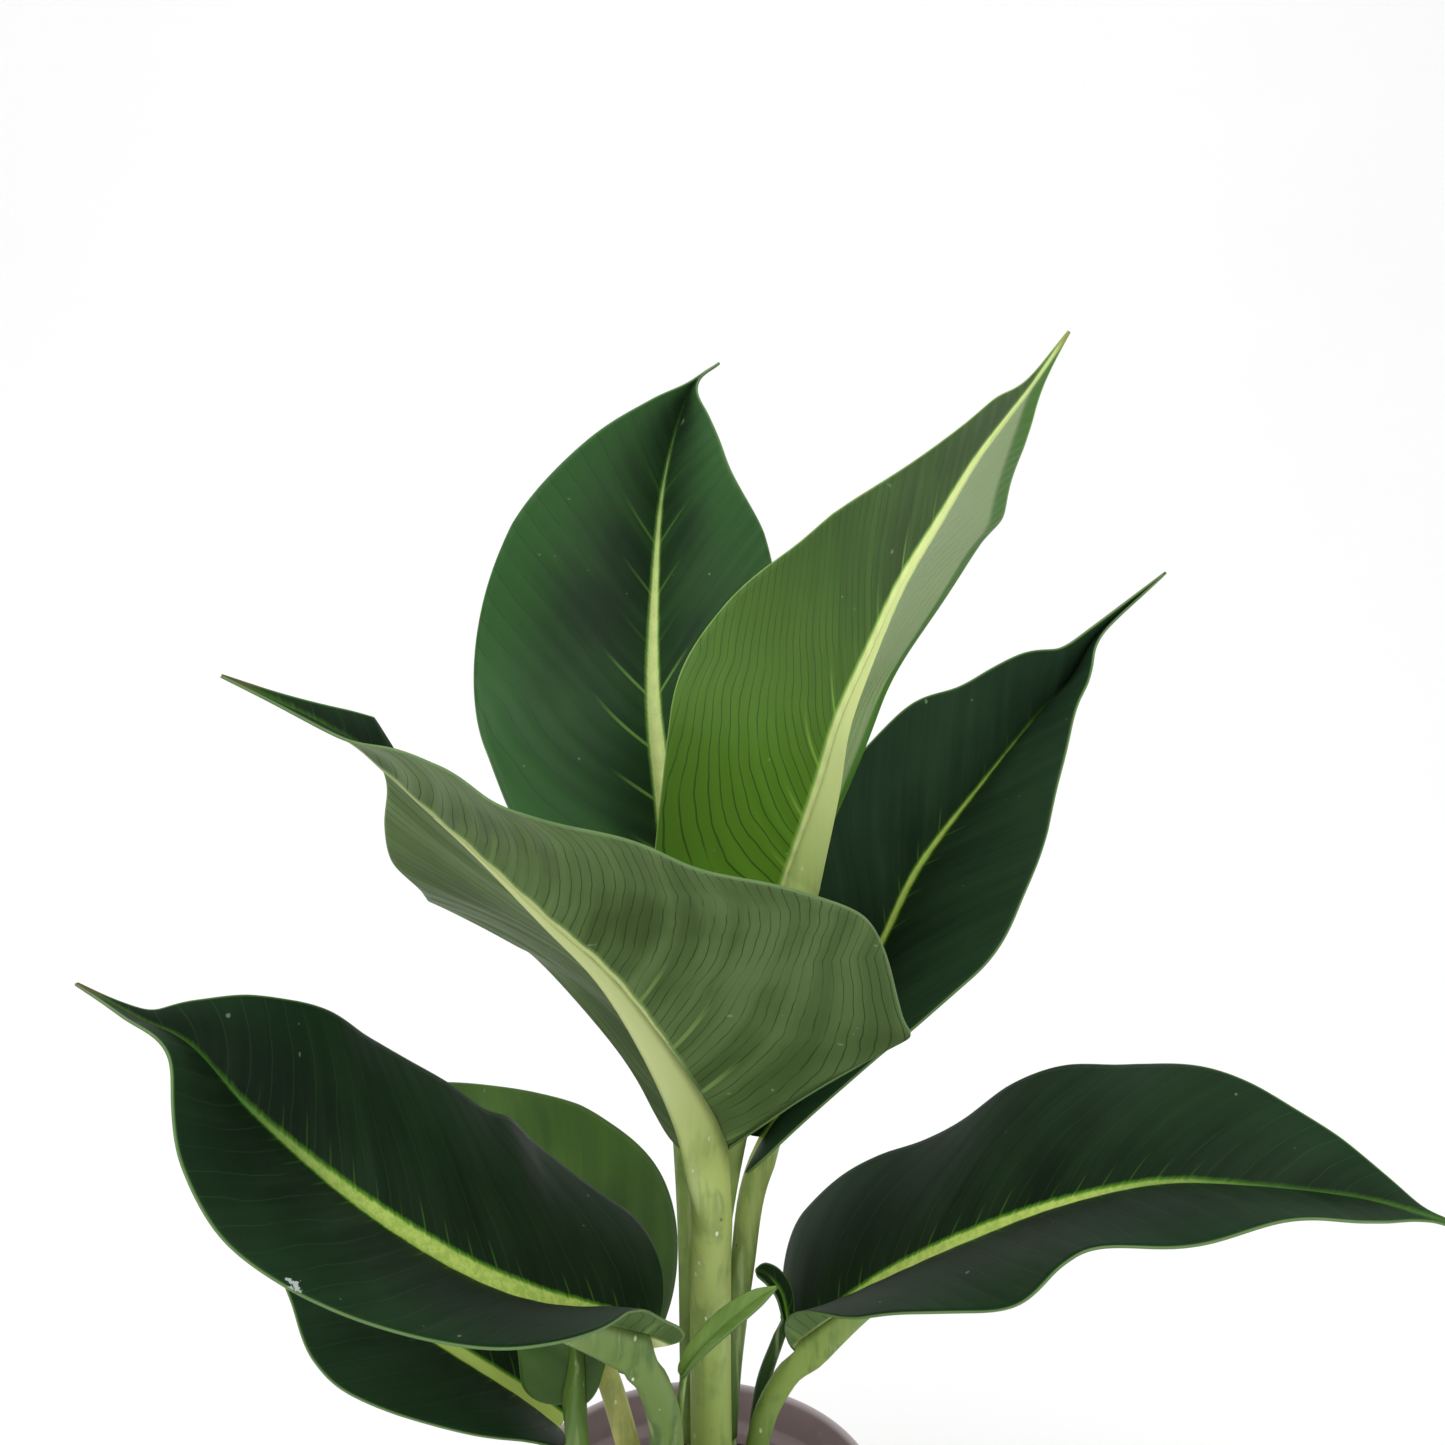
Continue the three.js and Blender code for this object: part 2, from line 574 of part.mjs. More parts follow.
function soilGeometry() {
  const bottom = POT.floor + GAP;
  const edge = SOIL.level - SOIL.crown;
  const profile = [
    [0, bottom],
    [innerRadius(bottom) - GAP, bottom],
    [innerRadius(edge) - GAP, edge],
    [innerRadius(edge) * SOIL.shoulderShare, SOIL.level - SOIL.shoulderDrop],
    [0, SOIL.level],
  ];
  const body = new THREE.LatheGeometry(profile.map((p) => new THREE.Vector2(...p)), RING);
  body.rotateX(Math.PI / 2);
  let soil = toSolid(body);
  for (const stalk of Object.values(STALKS)) {
    if (stalk.onStem) continue;
    const [x, y] = stalk.path[0];
    soil = soil.subtract(stalkHole(x, y, stalk.radius[0] + GAP));
  }
  const hole = ovalColumn([
    { z: SOIL.level - SOIL.holeDepth, size: MAIN_STEM.neckSize.map((half) => half + GAP) },
    { z: SOIL.level + SOIL.holeDepth, size: MAIN_STEM.neckSize.map((half) => half + GAP) },
  ]);
  soil = soil.subtract(toSolid(hole));
  return toGeometry(soil);
}

// ---------------------------------------------------------------- the plant

const plant = new THREE.Group();

function addPiece(name, geometry, look) {
  const mesh = new THREE.Mesh(geometry, look);
  mesh.name = name;
  plant.add(mesh);
}

addPiece("pot", potGeometry(), POT_PLASTIC);
addPiece("soil", soilGeometry(), SOIL_PEAT);
addPiece("main_stem", mainStemGeometry(), STALK_GREEN);
for (const [name, leaf] of Object.entries(LEAVES)) {
  addPiece(`stalk_${name}`, stalkGeometry(name), STALK_GREEN);
  addPiece(`blade_${name}`, bladeGeometry(leaf), BLADE_MATERIALS[name] ?? DARK_BLADE);
}

export default plant;
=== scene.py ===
import bpy
import numpy as np
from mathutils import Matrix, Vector, noise


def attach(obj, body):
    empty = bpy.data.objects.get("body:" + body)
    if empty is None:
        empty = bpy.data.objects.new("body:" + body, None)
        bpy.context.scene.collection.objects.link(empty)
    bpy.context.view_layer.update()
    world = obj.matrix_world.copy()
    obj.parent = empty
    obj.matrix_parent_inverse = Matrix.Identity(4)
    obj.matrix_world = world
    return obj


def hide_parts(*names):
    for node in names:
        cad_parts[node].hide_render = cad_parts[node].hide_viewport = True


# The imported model: twelve blades, their stalks, the main stem, the soil and the pot.
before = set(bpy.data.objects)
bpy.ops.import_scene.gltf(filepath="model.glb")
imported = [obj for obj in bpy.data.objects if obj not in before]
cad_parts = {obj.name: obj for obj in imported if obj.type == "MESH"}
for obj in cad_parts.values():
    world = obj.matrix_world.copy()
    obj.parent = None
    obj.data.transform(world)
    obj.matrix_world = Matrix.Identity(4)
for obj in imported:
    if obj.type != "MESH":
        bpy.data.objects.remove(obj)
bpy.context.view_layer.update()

bl_info = {
    "name": "Potted Dieffenbachia",
    "version": (1, 0, 0),
    "blender": (4, 5, 0),
    "location": "View3D > Sidebar > Plant",
    "description": "Builds the leaves, stalks, soil and pot of a young dieffenbachia",
    "category": "Object",
}

MM = 0.001

# ------------------------------------------------------------------ sizes of the plant, in mm

GAP = 0.3  # clearance kept between pieces that touch

POT = {
    "height": 105, "bottom_radius": 43, "shoulder_radius": 54.5, "collar_radius": 60,
    "collar_height": 15, "wall": 1.8, "floor": 3,
}

# level: in the middle. crown: how much lower the soil is at the wall. bed: how far the surface lies
# under the level before lumps are added to it. lump: height of the lumps, and how far they may
# rise and sink. fineness: how quickly the lumps change, per mm.
SOIL = {
    "level": 90, "crown": 3, "hole_depth": 14, "bed": 0.8, "lump": 1.5, "rise": 0.75, "sink": 1.6,
    "fineness": 0.22, "rings": 64, "sides": 144,
}

# neck_size: half widths of the oval column in the soil. From neck_rise above the soil it widens
# towards top_size, which it would reach widening mm higher. flute: number of the grooves between the
# wrapped stalk bases, their depth as a share, and how far they are turned, in radians. edge: height
# and depth of the rounded top edge. rings: their number below that edge and over it.
MAIN_STEM = {
    "middle": (4.5, -2), "top": 122, "top_size": (9.5, 14), "neck_size": (8, 12.5), "neck_rise": 12,
    "widening": 33, "flute": (4, 0.04, 0.5), "edge": (3, 1.2), "rings": (30, 8), "sides": 64,
}

# The form that all blades share. A share is one of the midrib's length, where nothing else is said.
BLADE = {
    "neck": 1.2,  # added to the half width all along, so that the two ends aren't points
    "tip": (0.15, 0.65),  # share before the drip tip over which that shrinks, and by how much
    "base_round": 0.07,  # share over which the base rounds out
    "lobe_reach": 0.18,  # share over which the base lobes still point backwards
    "lobe_fade": 1.5,  # how quickly their backward lean fades
    "sweep": 0.45,  # how far the margin runs ahead of the midrib, as a share of the half width
    "bend": 0.6,  # how much of that is gained towards the margin
    "arch": 0.06,  # arching between midrib and margin, as a share of the half width
    "full_width": 30,  # half width at which waves and ripples have their full height
    "easing": 0.045,  # share to both sides over which the midrib's direction is evened out
    "vein_turn": (0.12, 0.45),  # the veins' lean grows from so far before the base, over that share
    "row_power": 1.25,  # above 1 the rows stand closer together towards the stalk
    "full_length": 180,  # shorter blades have fewer rows and columns
    "least_share": 0.35,  # but at least this share of them
    "least_width": 8,  # the side veins bend as if each half were at least so wide
    "ripple_power": 1.5,  # above 1 the ripples keep away from midrib and margin
}
VEIN_WANDER = 9.0  # how far the fine side veins stray from even spacing

# The lowest part of a stalk stands upright; near the blade it turns into the ridge's first ring,
# over blend times its radius.
STALK = {"upright": 4, "rings": 30, "blend": 3.5}

# The raised midrib. start: the share of the blade where it begins. flank and flank_fall: its half
# width over the stalk's radius and how quickly that shrinks; depth_fall: the same for its depth.
# round and waist: how full its section is. end: half width and depth at its end.
RIDGE = {
    "start": 0.03, "rings": 40, "flank": 1.02, "flank_fall": 2.2, "depth_fall": 1.7, "round": 0.8,
    "waist": 0.3, "end": (0.5, 0.4),
}

# rib: points along the midrib, from the stalk to the drip tip. face: where the upper side looks.
# slant: how far the side veins lean forwards near the midrib and near the margin. quilt: height
# and spacing of the ripples between them. Each half, as seen from above looking to the tip, has
# its width in mm and its lift in degrees, the angle by which it is folded up from flat, both at
# even steps along the midrib. lobe: how far its base lobe hangs back, as a share of its width.
# wave: height, number and start of the waves along its margin.
LEAVES = {
    "back": {
        "rib": [[-9, 20, 309], [-11, 30, 330], [-14, 41, 361], [-14, 51, 392], [-12, 58, 424],
                [-7, 61, 448], [-1, 60, 462], [7, 55, 468]],
        "face": [0, -1, 0.25],
        "slant": (0.9, 1.2), "quilt": (0.12, 9),
        "left": {"width": [39, 54, 56, 47, 29.5, 12, 1, 0], "lift": [50, 30, 12, 24, 36, 48, 60, 60],
                 "lobe": 0.6, "wave": [0.8, 3, 0]},
        "right": {"width": [30, 45, 49, 42, 27, 12, 2, 0], "lift": [16, 24, 34, 40, 44, 44, 60, 60],
                  "lobe": 0.6, "wave": [0.8, 3, 0.3]},
    },
    "top": {
        "rib": [[31, -8, 310], [39, -16, 343], [43, -22, 364], [50, -28, 385], [57, -33, 404],
                [66, -36, 421], [75, -37, 437], [83, -36, 448], [90, -34, 457], [100, -30, 471]],
        "face": [-0.3, 1, 0.2],
        "slant": (1.2, 2.2), "quilt": (0.1, 6),
        "left": {"width": [12, 23, 37, 42, 41, 31, 20, 11, 4, 0],
                 "lift": [56, 50, 46, 43, 40, 38, 36, 34, 32, 40], "lobe": 0.3,
                 "wave": [0.8, 3, 0.2]},
        "right": {"width": [40, 51, 49, 38, 28, 20, 12, 8, 2, 0],
                  "lift": [24, 36, 54, 64, 70, 74, 76, 78, 78, 70], "lobe": 0.8,
                  "wave": [0.6, 3, 0]},
    },
    "front": {
        "rib": [[4, -14, 228], [-1, -24, 249], [-12, -40, 277], [-24, -54, 301], [-38, -66, 320],
                [-54, -77, 341], [-65, -85, 355], [-72, -90, 364], [-82, -94, 374],
                [-106, -102, 389]],
        "face": [0.2, 1, 0.2],
        "slant": (0.7, 1.6), "quilt": (0.35, 13),
        "left": {"width": [40, 50, 67, 69, 72, 73, 68, 56, 50, 44, 42, 36, 31, 26, 20, 12, 6,
                           2, 0],
                 "lift": [4, 4, 0, -12, -24, -34, -38, -45, -60, -60], "lobe": -0.65,
                 "wave": [2, 4, 0.1]},
        "right": {"width": [30, 27, 35, 60, 54, 66, 57, 48, 46, 40, 32, 29, 26, 21, 15, 9, 5,
                            2, 0],
                  "lift": [40, 44, 38, 32, 34, 50, 62, 85, 120, 120], "lobe": 0.75,
                  "wave": [1.5, 4, 0.4]},
    },
    "right_high": {
        "rib": [[23, 14, 222], [34, 19, 238], [48, 24, 262], [60, 31, 282], [73, 38, 306],
                [95, 46, 333], [112, 51, 353], [123, 54, 365], [133, 55, 381], [153, 52, 401]],
        "face": [-0.2, -1, 0.25],
        "slant": (0.9, 1.4), "quilt": (0.12, 8),
        "left": {"width": [24, 27.5, 31, 36, 41, 45, 47, 46.5, 44, 40.5, 31.5, 26, 21, 16.5, 13,
                           9, 5, 2, 0],
                 "lift": [44, 44, 48, 52, 42, 42, 40, 60, 70, 60], "lobe": 0.4,
                 "wave": [1, 4, 0.5]},
        "right": {"width": [22, 30, 46, 48, 40, 29, 17, 12, 4, 0],
                  "lift": [90, 78, 62, 46, 42, 54, 64, 70, 76, 70], "lobe": 1.1,
                  "wave": [0.8, 4, 0]},
    },
    "left_low": {
        "rib": [[-13.5, -37, 180], [-27.5, -46.5, 192], [-45, -58, 206], [-64, -68, 223],
                [-87, -80, 249], [-108, -90, 277], [-121, -95, 297], [-133, -96, 304.5],
                [-149, -92, 312]],
        "face": [0, -0.7, 0.7],
        "slant": (0.8, 1.4), "quilt": (0.06, 11),
        "left": {"width": [12, 14, 19, 31, 43, 47, 46, 43.5, 40, 37, 29.5, 20, 11.5, 8, 4.5,
                           1.5, 0],
                 "lift": [112, 96, 76, 60, 46, 46, 62, 68, 60], "lobe": 1.0,
                 "wave": [0.5, 3, 0]},
        "right": {"width": [36, 41, 46, 53, 54, 50, 48.5, 44.5, 39, 33.5, 26, 18.5, 10.5, 6, 3, 1,
                            0],
                  "lift": [-22, -20, -18, -20, -20, -14, -26, -40, -40], "lobe": 0.6,
                  "wave": [0.4, 3, 0.4]},
    },
    "right_low": {
        "rib": [[32, -4, 157], [48, -10, 176], [64, -16, 192], [84, -26, 209], [105, -38, 225],
                [127, -54, 240], [147, -66, 246], [171, -78, 249], [188, -84, 247],
                [201, -86, 243]],
        "face": [0, -0.7, 0.7],
        "slant": (0.8, 1.4), "quilt": (0.06, 11),
        "left": {"width": [43, 48, 50.5, 50, 47.5, 46, 49, 49, 44, 39.5, 34.5, 29, 23, 16.5,
                           9.5, 5, 1.5, 0.5, 0],
                 "lift": [-40, -34, -34, -26, -22, -16, -2, -6, -30, -30], "lobe": 0.3,
                 "wave": [1.2, 3, 0.3]},
        "right": {"width": [17, 20, 28, 37, 46, 48.5, 47, 48.5, 46, 41.5, 38, 34, 29, 23, 12,
                            4.5, 1, 0.5, 0],
                  "lift": [112, 92, 70, 54, 54, 48, 52, 46, 30, 30], "lobe": -0.4,
                  "wave": [2, 4, 0.1]},
    },
    "left_back": {
        "rib": [[-33, 4, 152], [-33, 14, 165], [-38, 24, 179], [-49, 33, 192], [-63, 41, 203],
                [-81, 47, 212], [-95, 50, 219], [-104, 51, 223]],
        "face": [-0.1, 1, 0.3],
        "slant": (0.8, 1.4), "quilt": (0.08, 9),
        "left": {"width": [23, 34, 38, 31, 20, 11, 4, 0], "lift": [42, 46, 56, 60, 60, 50, 40, 40],
                 "lobe": 0.5, "wave": [0.8, 3, 0]},
        "right": {"width": [14, 20, 24, 22, 18, 11, 4, 0], "lift": [20] * 8, "lobe": 0.5,
                  "wave": [0.8, 3, 0.4]},
    },
    "left_under": {
        "rib": [[-44, -8, 134], [-57, -13, 149], [-78, -20, 170], [-96, -24, 186],
                [-110, -26, 198], [-121, -27, 210], [-127, -26, 217]],
        "face": [0, -0.6, 0.8],
        "slant": (0.8, 1.4), "quilt": (0.06, 9),
        "left": {"width": [9, 26, 37, 30, 15, 4, 0], "lift": [56, 52, 38, 32, 28, 20, 20],
                 "lobe": 0.2, "wave": [0.8, 3, 0]},
        "right": {"width": [14, 18, 20, 18, 12, 4, 0], "lift": [-20, -20, -20, -20, -10, 0, 0],
                  "lobe": 0.4, "wave": [0.8, 3, 0.4]},
    },
    "left_inner": {
        "rib": [[-37, -30, 157], [-36, -27, 173], [-39, -16, 184], [-47, -9, 197],
                [-60, -4, 208], [-73, -1, 216], [-82, 1, 220]],
        "face": [0, 1, 0.3],
        "slant": (0.9, 1.6), "quilt": (0.06, 7),
        "left": {"width": [5, 9, 11, 10, 8, 4, 0], "lift": [20, 16, 12, 10, 8, 6, 5],
                 "lobe": 0.4, "wave": [0.5, 3, 0]},
        "right": {"width": [14, 18, 19, 16, 11, 5, 0], "lift": [10, 10, 8, 6, 4, 0, 0],
                  "lobe": 0.3, "wave": [0.5, 3, 0.4]},
    },
    "behind_stem": {
        "rib": [[28.5, 2, 165], [27, 4, 172], [24.5, 5.5, 176], [21.5, 6.5, 178.5],
                [18.8, 7, 179.5]],
        "face": [0.3, -0.9, 0.3],
        "slant": (1.2, 2), "quilt": (0, 5),
        "left": {"width": [1.5, 2.8, 3, 2, 0], "lift": [50, 50, 50, 50, 40], "lobe": 0,
                 "wave": [0.1, 2, 0]},
        "right": {"width": [1.5, 2.8, 3, 2, 0], "lift": [20, 20, 20, 20, 20], "lobe": 0,
                  "wave": [0.1, 2, 0.4]},
    },
    "shoot": {
        "rib": [[-4, -25, 163], [1, -28, 173], [9, -31, 184], [17, -33, 192], [24, -33, 197]],
        "face": [-0.6, -0.3, 0.75],
        "slant": (1.5, 2.5), "quilt": (0, 5),
        "left": {"width": [1.4, 2.7, 3, 2, 0], "lift": [60, 55, 50, 50, 40], "lobe": 0,
                 "wave": [0.1, 2, 0]},
        "right": {"width": [1.4, 2.7, 3, 2, 0], "lift": [20, 10, 0, 0, 10], "lobe": 0,
                  "wave": [0.1, 2, 0.4]},
    },
    "front_low": {
        "rib": [[4, -40, 102], [4, -52, 112], [4, -66, 118], [3, -82, 114], [0, -96, 100],
                [-5, -104, 80], [-8, -107, 66]],
        "face": [0, -0.3, 1],
        "slant": (0.8, 1.4), "quilt": (0.06, 9),
        "left": {"width": [12, 18, 20, 18, 12, 5, 0], "lift": [30, 25, 20, 15, 10, 10, 10],
                 "lobe": 0.4, "wave": [0.6, 3, 0]},
        "right": {"width": [12, 18, 20, 18, 12, 5, 0], "lift": [30, 25, 20, 15, 10, 10, 10],
                  "lobe": 0.4, "wave": [0.6, 3, 0.4]},
    },
}

# path: from the foot up to the blade. radius: at both ends of it. ridge: share of the blade's
# length along which the stalk runs on as the raised midrib. on_stem: it starts on the main stem.
STALKS = {
    "back": {"path": [[-3, 2, 0], [-3, 2.5, 150], [-3.5, 8, 200], [-7, 18, 262]],
             "radius": [2.7, 4], "ridge": 0.72, "on_stem": True},
    "top": {"path": [[2.6, 6, 0], [3, 6, 150], [7, 5, 195], [14, 0, 240], [23, -9, 282]],
            "radius": [3.3, 4.4], "ridge": 0.8, "on_stem": True},
    "front": {"path": [[4.5, -9, 0], [4.2, -9.5, 160], [4.4, -14, 195], [4.6, -19, 214]],
              "radius": [6.6, 6.2], "ridge": 0.72, "on_stem": True},
    "right_high": {"path": [[9.6, 4.2, 0], [11, 5.5, 150], [14.5, 10, 180], [18, 14.5, 204]],
                   "radius": [3.3, 4.6], "ridge": 0.76, "on_stem": True},
    "left_low": {"path": [[-9.3, -28, 0], [-9.3, -28, 120], [-9.6, -30, 152]],
                 "radius": [6, 4.8], "ridge": 0.78},
    "right_low": {"path": [[17, -3, 0], [17, -3, 108], [21, -3, 132], [27.2, -3, 146.2]],
                  "radius": [3.4, 4], "ridge": 0.78},
    "left_back": {"path": [[-19, -4, 0], [-20, -4.5, 112], [-25, -5, 136]],
                  "radius": [4, 3.8], "ridge": 0.6},
    "left_under": {"path": [[-41, -8, 0], [-41, -8, 110], [-42, -7, 124]],
                   "radius": [2, 2], "ridge": 0.7},
    "left_inner": {"path": [[-32, -30, 0], [-32, -30, 115], [-35, -33.4, 141.6]],
                   "radius": [3.2, 3.4], "ridge": 0.6},
    "behind_stem": {"path": [[18.5, 6.5, 0], [18.5, 6.5, 108], [21, 5.5, 138], [25.5, 2.8, 156]],
                    "radius": [4, 1.8], "ridge": 0.5},
    "shoot": {"path": [[-7, -19, 0], [-7, -19, 118], [-5.5, -22, 146]],
              "radius": [1.3, 1.1], "ridge": 0.5},
    "front_low": {"path": [[6, -30, 0], [5.5, -36, 95.5]], "radius": [1.8, 1.3], "ridge": 0.6},
}

# ------------------------------------------------------------------ looks of the leaf sides


def srgb(red, green, blue):
    """A colour as read off a screen, from 0 to 255, in linear light."""
    def linear(channel):
        share = channel / 255
        return share / 12.92 if share <= 0.04045 else ((share + 0.055) / 1.055) ** 2.4
    return (linear(red), linear(green), linear(blue), 1.0)


# Finishes of a blade's side. deep and light: its two greens. base and outer: a colour and how far
# it takes over towards the stalk and towards the margin. veins: spacing in mm, how thin, colour
# and strength of the fine side veins. rays: spacing, reach in mm and strength of the pale veins
# that leave the band. folds: spacing in mm of the broad folds, and strength of the light and
# shade painted along them. band, band_rim and line: the pale band along the midrib, its rim, and
# the line that it ends in. edge: along the margin. tip: the drip tip. relief: height of the folds
# in m.
FINISHES = {
    "dark_upper": {
        "deep": srgb(17, 32, 18), "light": srgb(32, 51, 31),
        "base": (srgb(22, 38, 18), 0.4), "outer": (srgb(31, 56, 33), 0.45),
        "veins": (9.0, 0.975, srgb(46, 76, 40), 0.3), "rays": (9.0, 6.0, 0.3), "folds": (9.0, 0.2),
        "band": srgb(188, 208, 108), "band_rim": srgb(92, 146, 40),
        "line": srgb(62, 104, 48), "edge": srgb(84, 122, 58), "tip": srgb(84, 78, 52),
        "roughness": 0.5, "shine": 0.05, "relief": 0.00005,
    },
    "green_upper": {
        "deep": srgb(24, 46, 24), "light": srgb(40, 72, 34),
        "base": (srgb(26, 60, 24), 0.5), "outer": (srgb(42, 86, 34), 0.8),
        "veins": (8.5, 0.96, srgb(28, 52, 28), 0.5), "rays": (17.0, 13.0, 0.75), "folds": (8.5, 0.5),
        "band": srgb(206, 222, 142), "band_rim": srgb(112, 156, 70),
        "line": srgb(100, 140, 74), "edge": srgb(78, 122, 60), "tip": srgb(120, 130, 100),
        "roughness": 0.5, "shine": 0.22, "relief": 0.0002,
    },
    # Partly the underside's own green and partly painted light: the bright yellow-green of light
    # shining through the blade, strongest in the base colour towards the stalk.
    "painted_backlight_under": {
        "deep": srgb(42, 66, 22), "light": srgb(62, 92, 34),
        "base": (srgb(90, 137, 32), 0.92), "outer": (srgb(58, 90, 30), 0.3),
        "veins": (4.1, 0.88, srgb(32, 54, 18), 0.7), "rays": (16.0, 8.0, 0.5), "folds": (8.2, 0.3),
        "band": srgb(214, 228, 150), "band_rim": srgb(140, 182, 76),
        "line": srgb(186, 204, 126), "edge": srgb(140, 178, 88), "tip": srgb(130, 140, 60),
        "roughness": 0.5, "shine": 0.3, "relief": 0.0002,
    },
    "grey_under": {
        "deep": srgb(66, 87, 47), "light": srgb(103, 126, 78),
        "base": (srgb(70, 96, 44), 0.4), "outer": (srgb(94, 116, 72), 0.35),
        "veins": (3.8, 0.9, srgb(34, 48, 26), 0.75), "rays": (22.0, 14.0, 0.8), "folds": (18.0, 0.9),
        "band": srgb(196, 206, 142), "band_rim": srgb(122, 150, 84),
        "line": srgb(130, 150, 92), "edge": srgb(118, 144, 92), "tip": srgb(116, 104, 78),
        "roughness": 0.55, "shine": 0.1, "relief": 0.0005,
    },
    "plain_under": {
        "deep": srgb(40, 70, 16), "light": srgb(66, 98, 28),
        "base": (srgb(48, 80, 20), 0.4), "outer": (srgb(66, 98, 36), 0.4),
        "veins": (4.5, 0.93, srgb(40, 68, 18), 0.3), "rays": (9.0, 2.0, 0.2), "folds": (13.0, 0.6),
        "band": srgb(96, 126, 62), "band_rim": srgb(72, 106, 44),
        "line": srgb(84, 116, 54), "edge": srgb(86, 118, 58), "tip": srgb(96, 110, 60),
        "roughness": 0.5, "shine": 0.3, "relief": 0.0001,
    },
    "shoot_skin": {
        "deep": srgb(98, 128, 54), "light": srgb(130, 158, 78),
        "base": (srgb(128, 160, 76), 0.5), "outer": (srgb(96, 132, 52), 0.4),
        "veins": (2.6, 0.94, srgb(74, 108, 40), 0.4), "rays": (5.0, 1.0, 0.1), "folds": (5.0, 0.3),
        "band": srgb(120, 152, 70), "band_rim": srgb(108, 142, 62),
        "line": srgb(118, 150, 70), "edge": srgb(112, 146, 70), "tip": srgb(120, 150, 66),
        "roughness": 0.5, "shine": 0.3, "relief": 0.00005,
    },
}
# Painted light: a lighter copy of dark_upper for the blade that the lamps leave in shade.
FINISHES["painted_lit_upper"] = {
    **FINISHES["dark_upper"], "deep": srgb(29, 48, 31), "light": srgb(45, 67, 45),
    "rays": (12.0, 6.0, 0.4),
}

# What the finishes of all leaves share. greens: between which values of the cloudy pattern the
# colour goes from deep to light. fold: weight in that pattern of the light and shade painted along
# the folds. streaks: weight in it of the streaks. base and outer: where those two colours start and
# are full. rim: strength of the band's rim, and its width in mm. dust: where in its pattern a grain
# starts and is full, and its strength. edge: distance in mm from the margin at which its colour
# starts and is full, and its strength. tip: the same along the blade.
LEAF_LOOK = {
    "greens": (0.63, 1.09), "fold": 0.14, "streaks": 0.7, "base": (0.62, 0.02), "outer": (0.3, 0.95),
    "rim": (0.9, 1.3), "dust": (0.79, 0.83, 0.25), "edge": (0.5, 0.1, 0.7), "tip": (0.95, 0.99),
}
DUST_COLOUR = srgb(176, 190, 160)
SCAR_COLOUR = srgb(176, 184, 180)

# For each leaf its two finishes, each with the pale band along the midrib: its half width in mm at
# the stalk, the share of the leaf at which it has narrowed to a line, the line's half width, and
# how densely green flecks cover the band.
LEAF_SIDES = {
    "back": (("green_upper", (4.2, 0.93, 0.2, 0.1)), ("grey_under", (4.5, 0.9, 0.5, 0))),
    "top": (("green_upper", (4.5, 0.95, 0.5, 0.1)), ("painted_backlight_under", (6.2, 0.9, 0.4, 0))),
    "front": (("dark_upper", (4.5, 0.8, 0.4, 0.5)), ("grey_under", (4.6, 0.95, 0.5, 0))),
    "right_high": (("painted_lit_upper", (3.8, 0.86, 0.35, 0.1)), ("grey_under", (4.5, 0.9, 0.5, 0))),
    "left_low": (("dark_upper", (7.2, 0.8, 0.2, 0.35)), ("grey_under", (4.5, 0.9, 0.5, 0))),
    "right_low": (("dark_upper", (4.8, 0.8, 0.3, 0.3)), ("grey_under", (4.5, 0.9, 0.5, 0))),
    "left_back": (("green_upper", (2.5, 0.8, 0.4, 0.1)), ("plain_under", (1.8, 0.8, 0.3, 0))),
    "left_under": (("dark_upper", (4.0, 0.95, 0.4, 0)), ("grey_under", (2.4, 0.9, 0.4, 0))),
    "left_inner": (("green_upper", (1.6, 0.9, 0.3, 0)), ("plain_under", (1.4, 0.8, 0.3, 0))),
    "behind_stem": (("dark_upper", (0.5, 0.9, 0.2, 0)), ("plain_under", (0.5, 0.9, 0.2, 0))),
    "shoot": (("shoot_skin", (0.5, 0.9, 0.2, 0)), ("shoot_skin", (0.5, 0.9, 0.2, 0))),
    "front_low": (("dark_upper", (2.2, 0.85, 0.3, 0.3)), ("grey_under", (2.4, 0.9, 0.4, 0))),
}

# Stalk colours: at the foot, at the blade, and of the raised midrib. mottle: how strongly darker
# green patches cover them.
STALK_SKINS = {
    "main_stem": (srgb(112, 138, 68), srgb(142, 164, 88), srgb(142, 164, 88), 0.6),
    "back": (srgb(128, 150, 80), srgb(140, 164, 90), srgb(170, 188, 120), 0.4),
    "top": (srgb(118, 146, 72), srgb(172, 192, 110), srgb(212, 226, 148), 0.3),
    "front": (srgb(142, 162, 84), srgb(172, 188, 108), srgb(196, 206, 142), 0.4),
    "right_high": (srgb(84, 114, 52), srgb(176, 194, 112), srgb(176, 194, 118), 0.4),
    "left_low": (srgb(104, 128, 66), srgb(108, 132, 70), srgb(118, 140, 82), 0.8),
    "right_low": (srgb(52, 84, 34), srgb(132, 156, 76), srgb(128, 150, 86), 0.8),
    "left_back": (srgb(214, 206, 134), srgb(186, 190, 108), srgb(84, 116, 52), 0.3),
    "left_under": (srgb(112, 138, 62), srgb(120, 146, 68), srgb(110, 140, 70), 0.4),
    "left_inner": (srgb(104, 132, 58), srgb(84, 112, 46), srgb(78, 106, 44), 0.4),
    "behind_stem": (srgb(52, 82, 40), srgb(50, 80, 38), srgb(60, 90, 44), 0.5),
    "shoot": (srgb(110, 140, 64), srgb(112, 144, 64), srgb(118, 150, 70), 0.2),
    "front_low": (srgb(98, 126, 58), srgb(92, 120, 54), srgb(98, 126, 62), 0.4),
}

# A spot on the upper side of the leaf that reaches to the left: its small white scar.
SCAR_PLACE = (-90.2, -123.1, 250.9)

# The floor's side, its middle in depth, how high it rises behind the plant and its bend, in m.
STUDIO = {"floor": 6, "middle": -1.4, "wall": 3, "bend": 0.9}

# ------------------------------------------------------------------ curves and surfaces


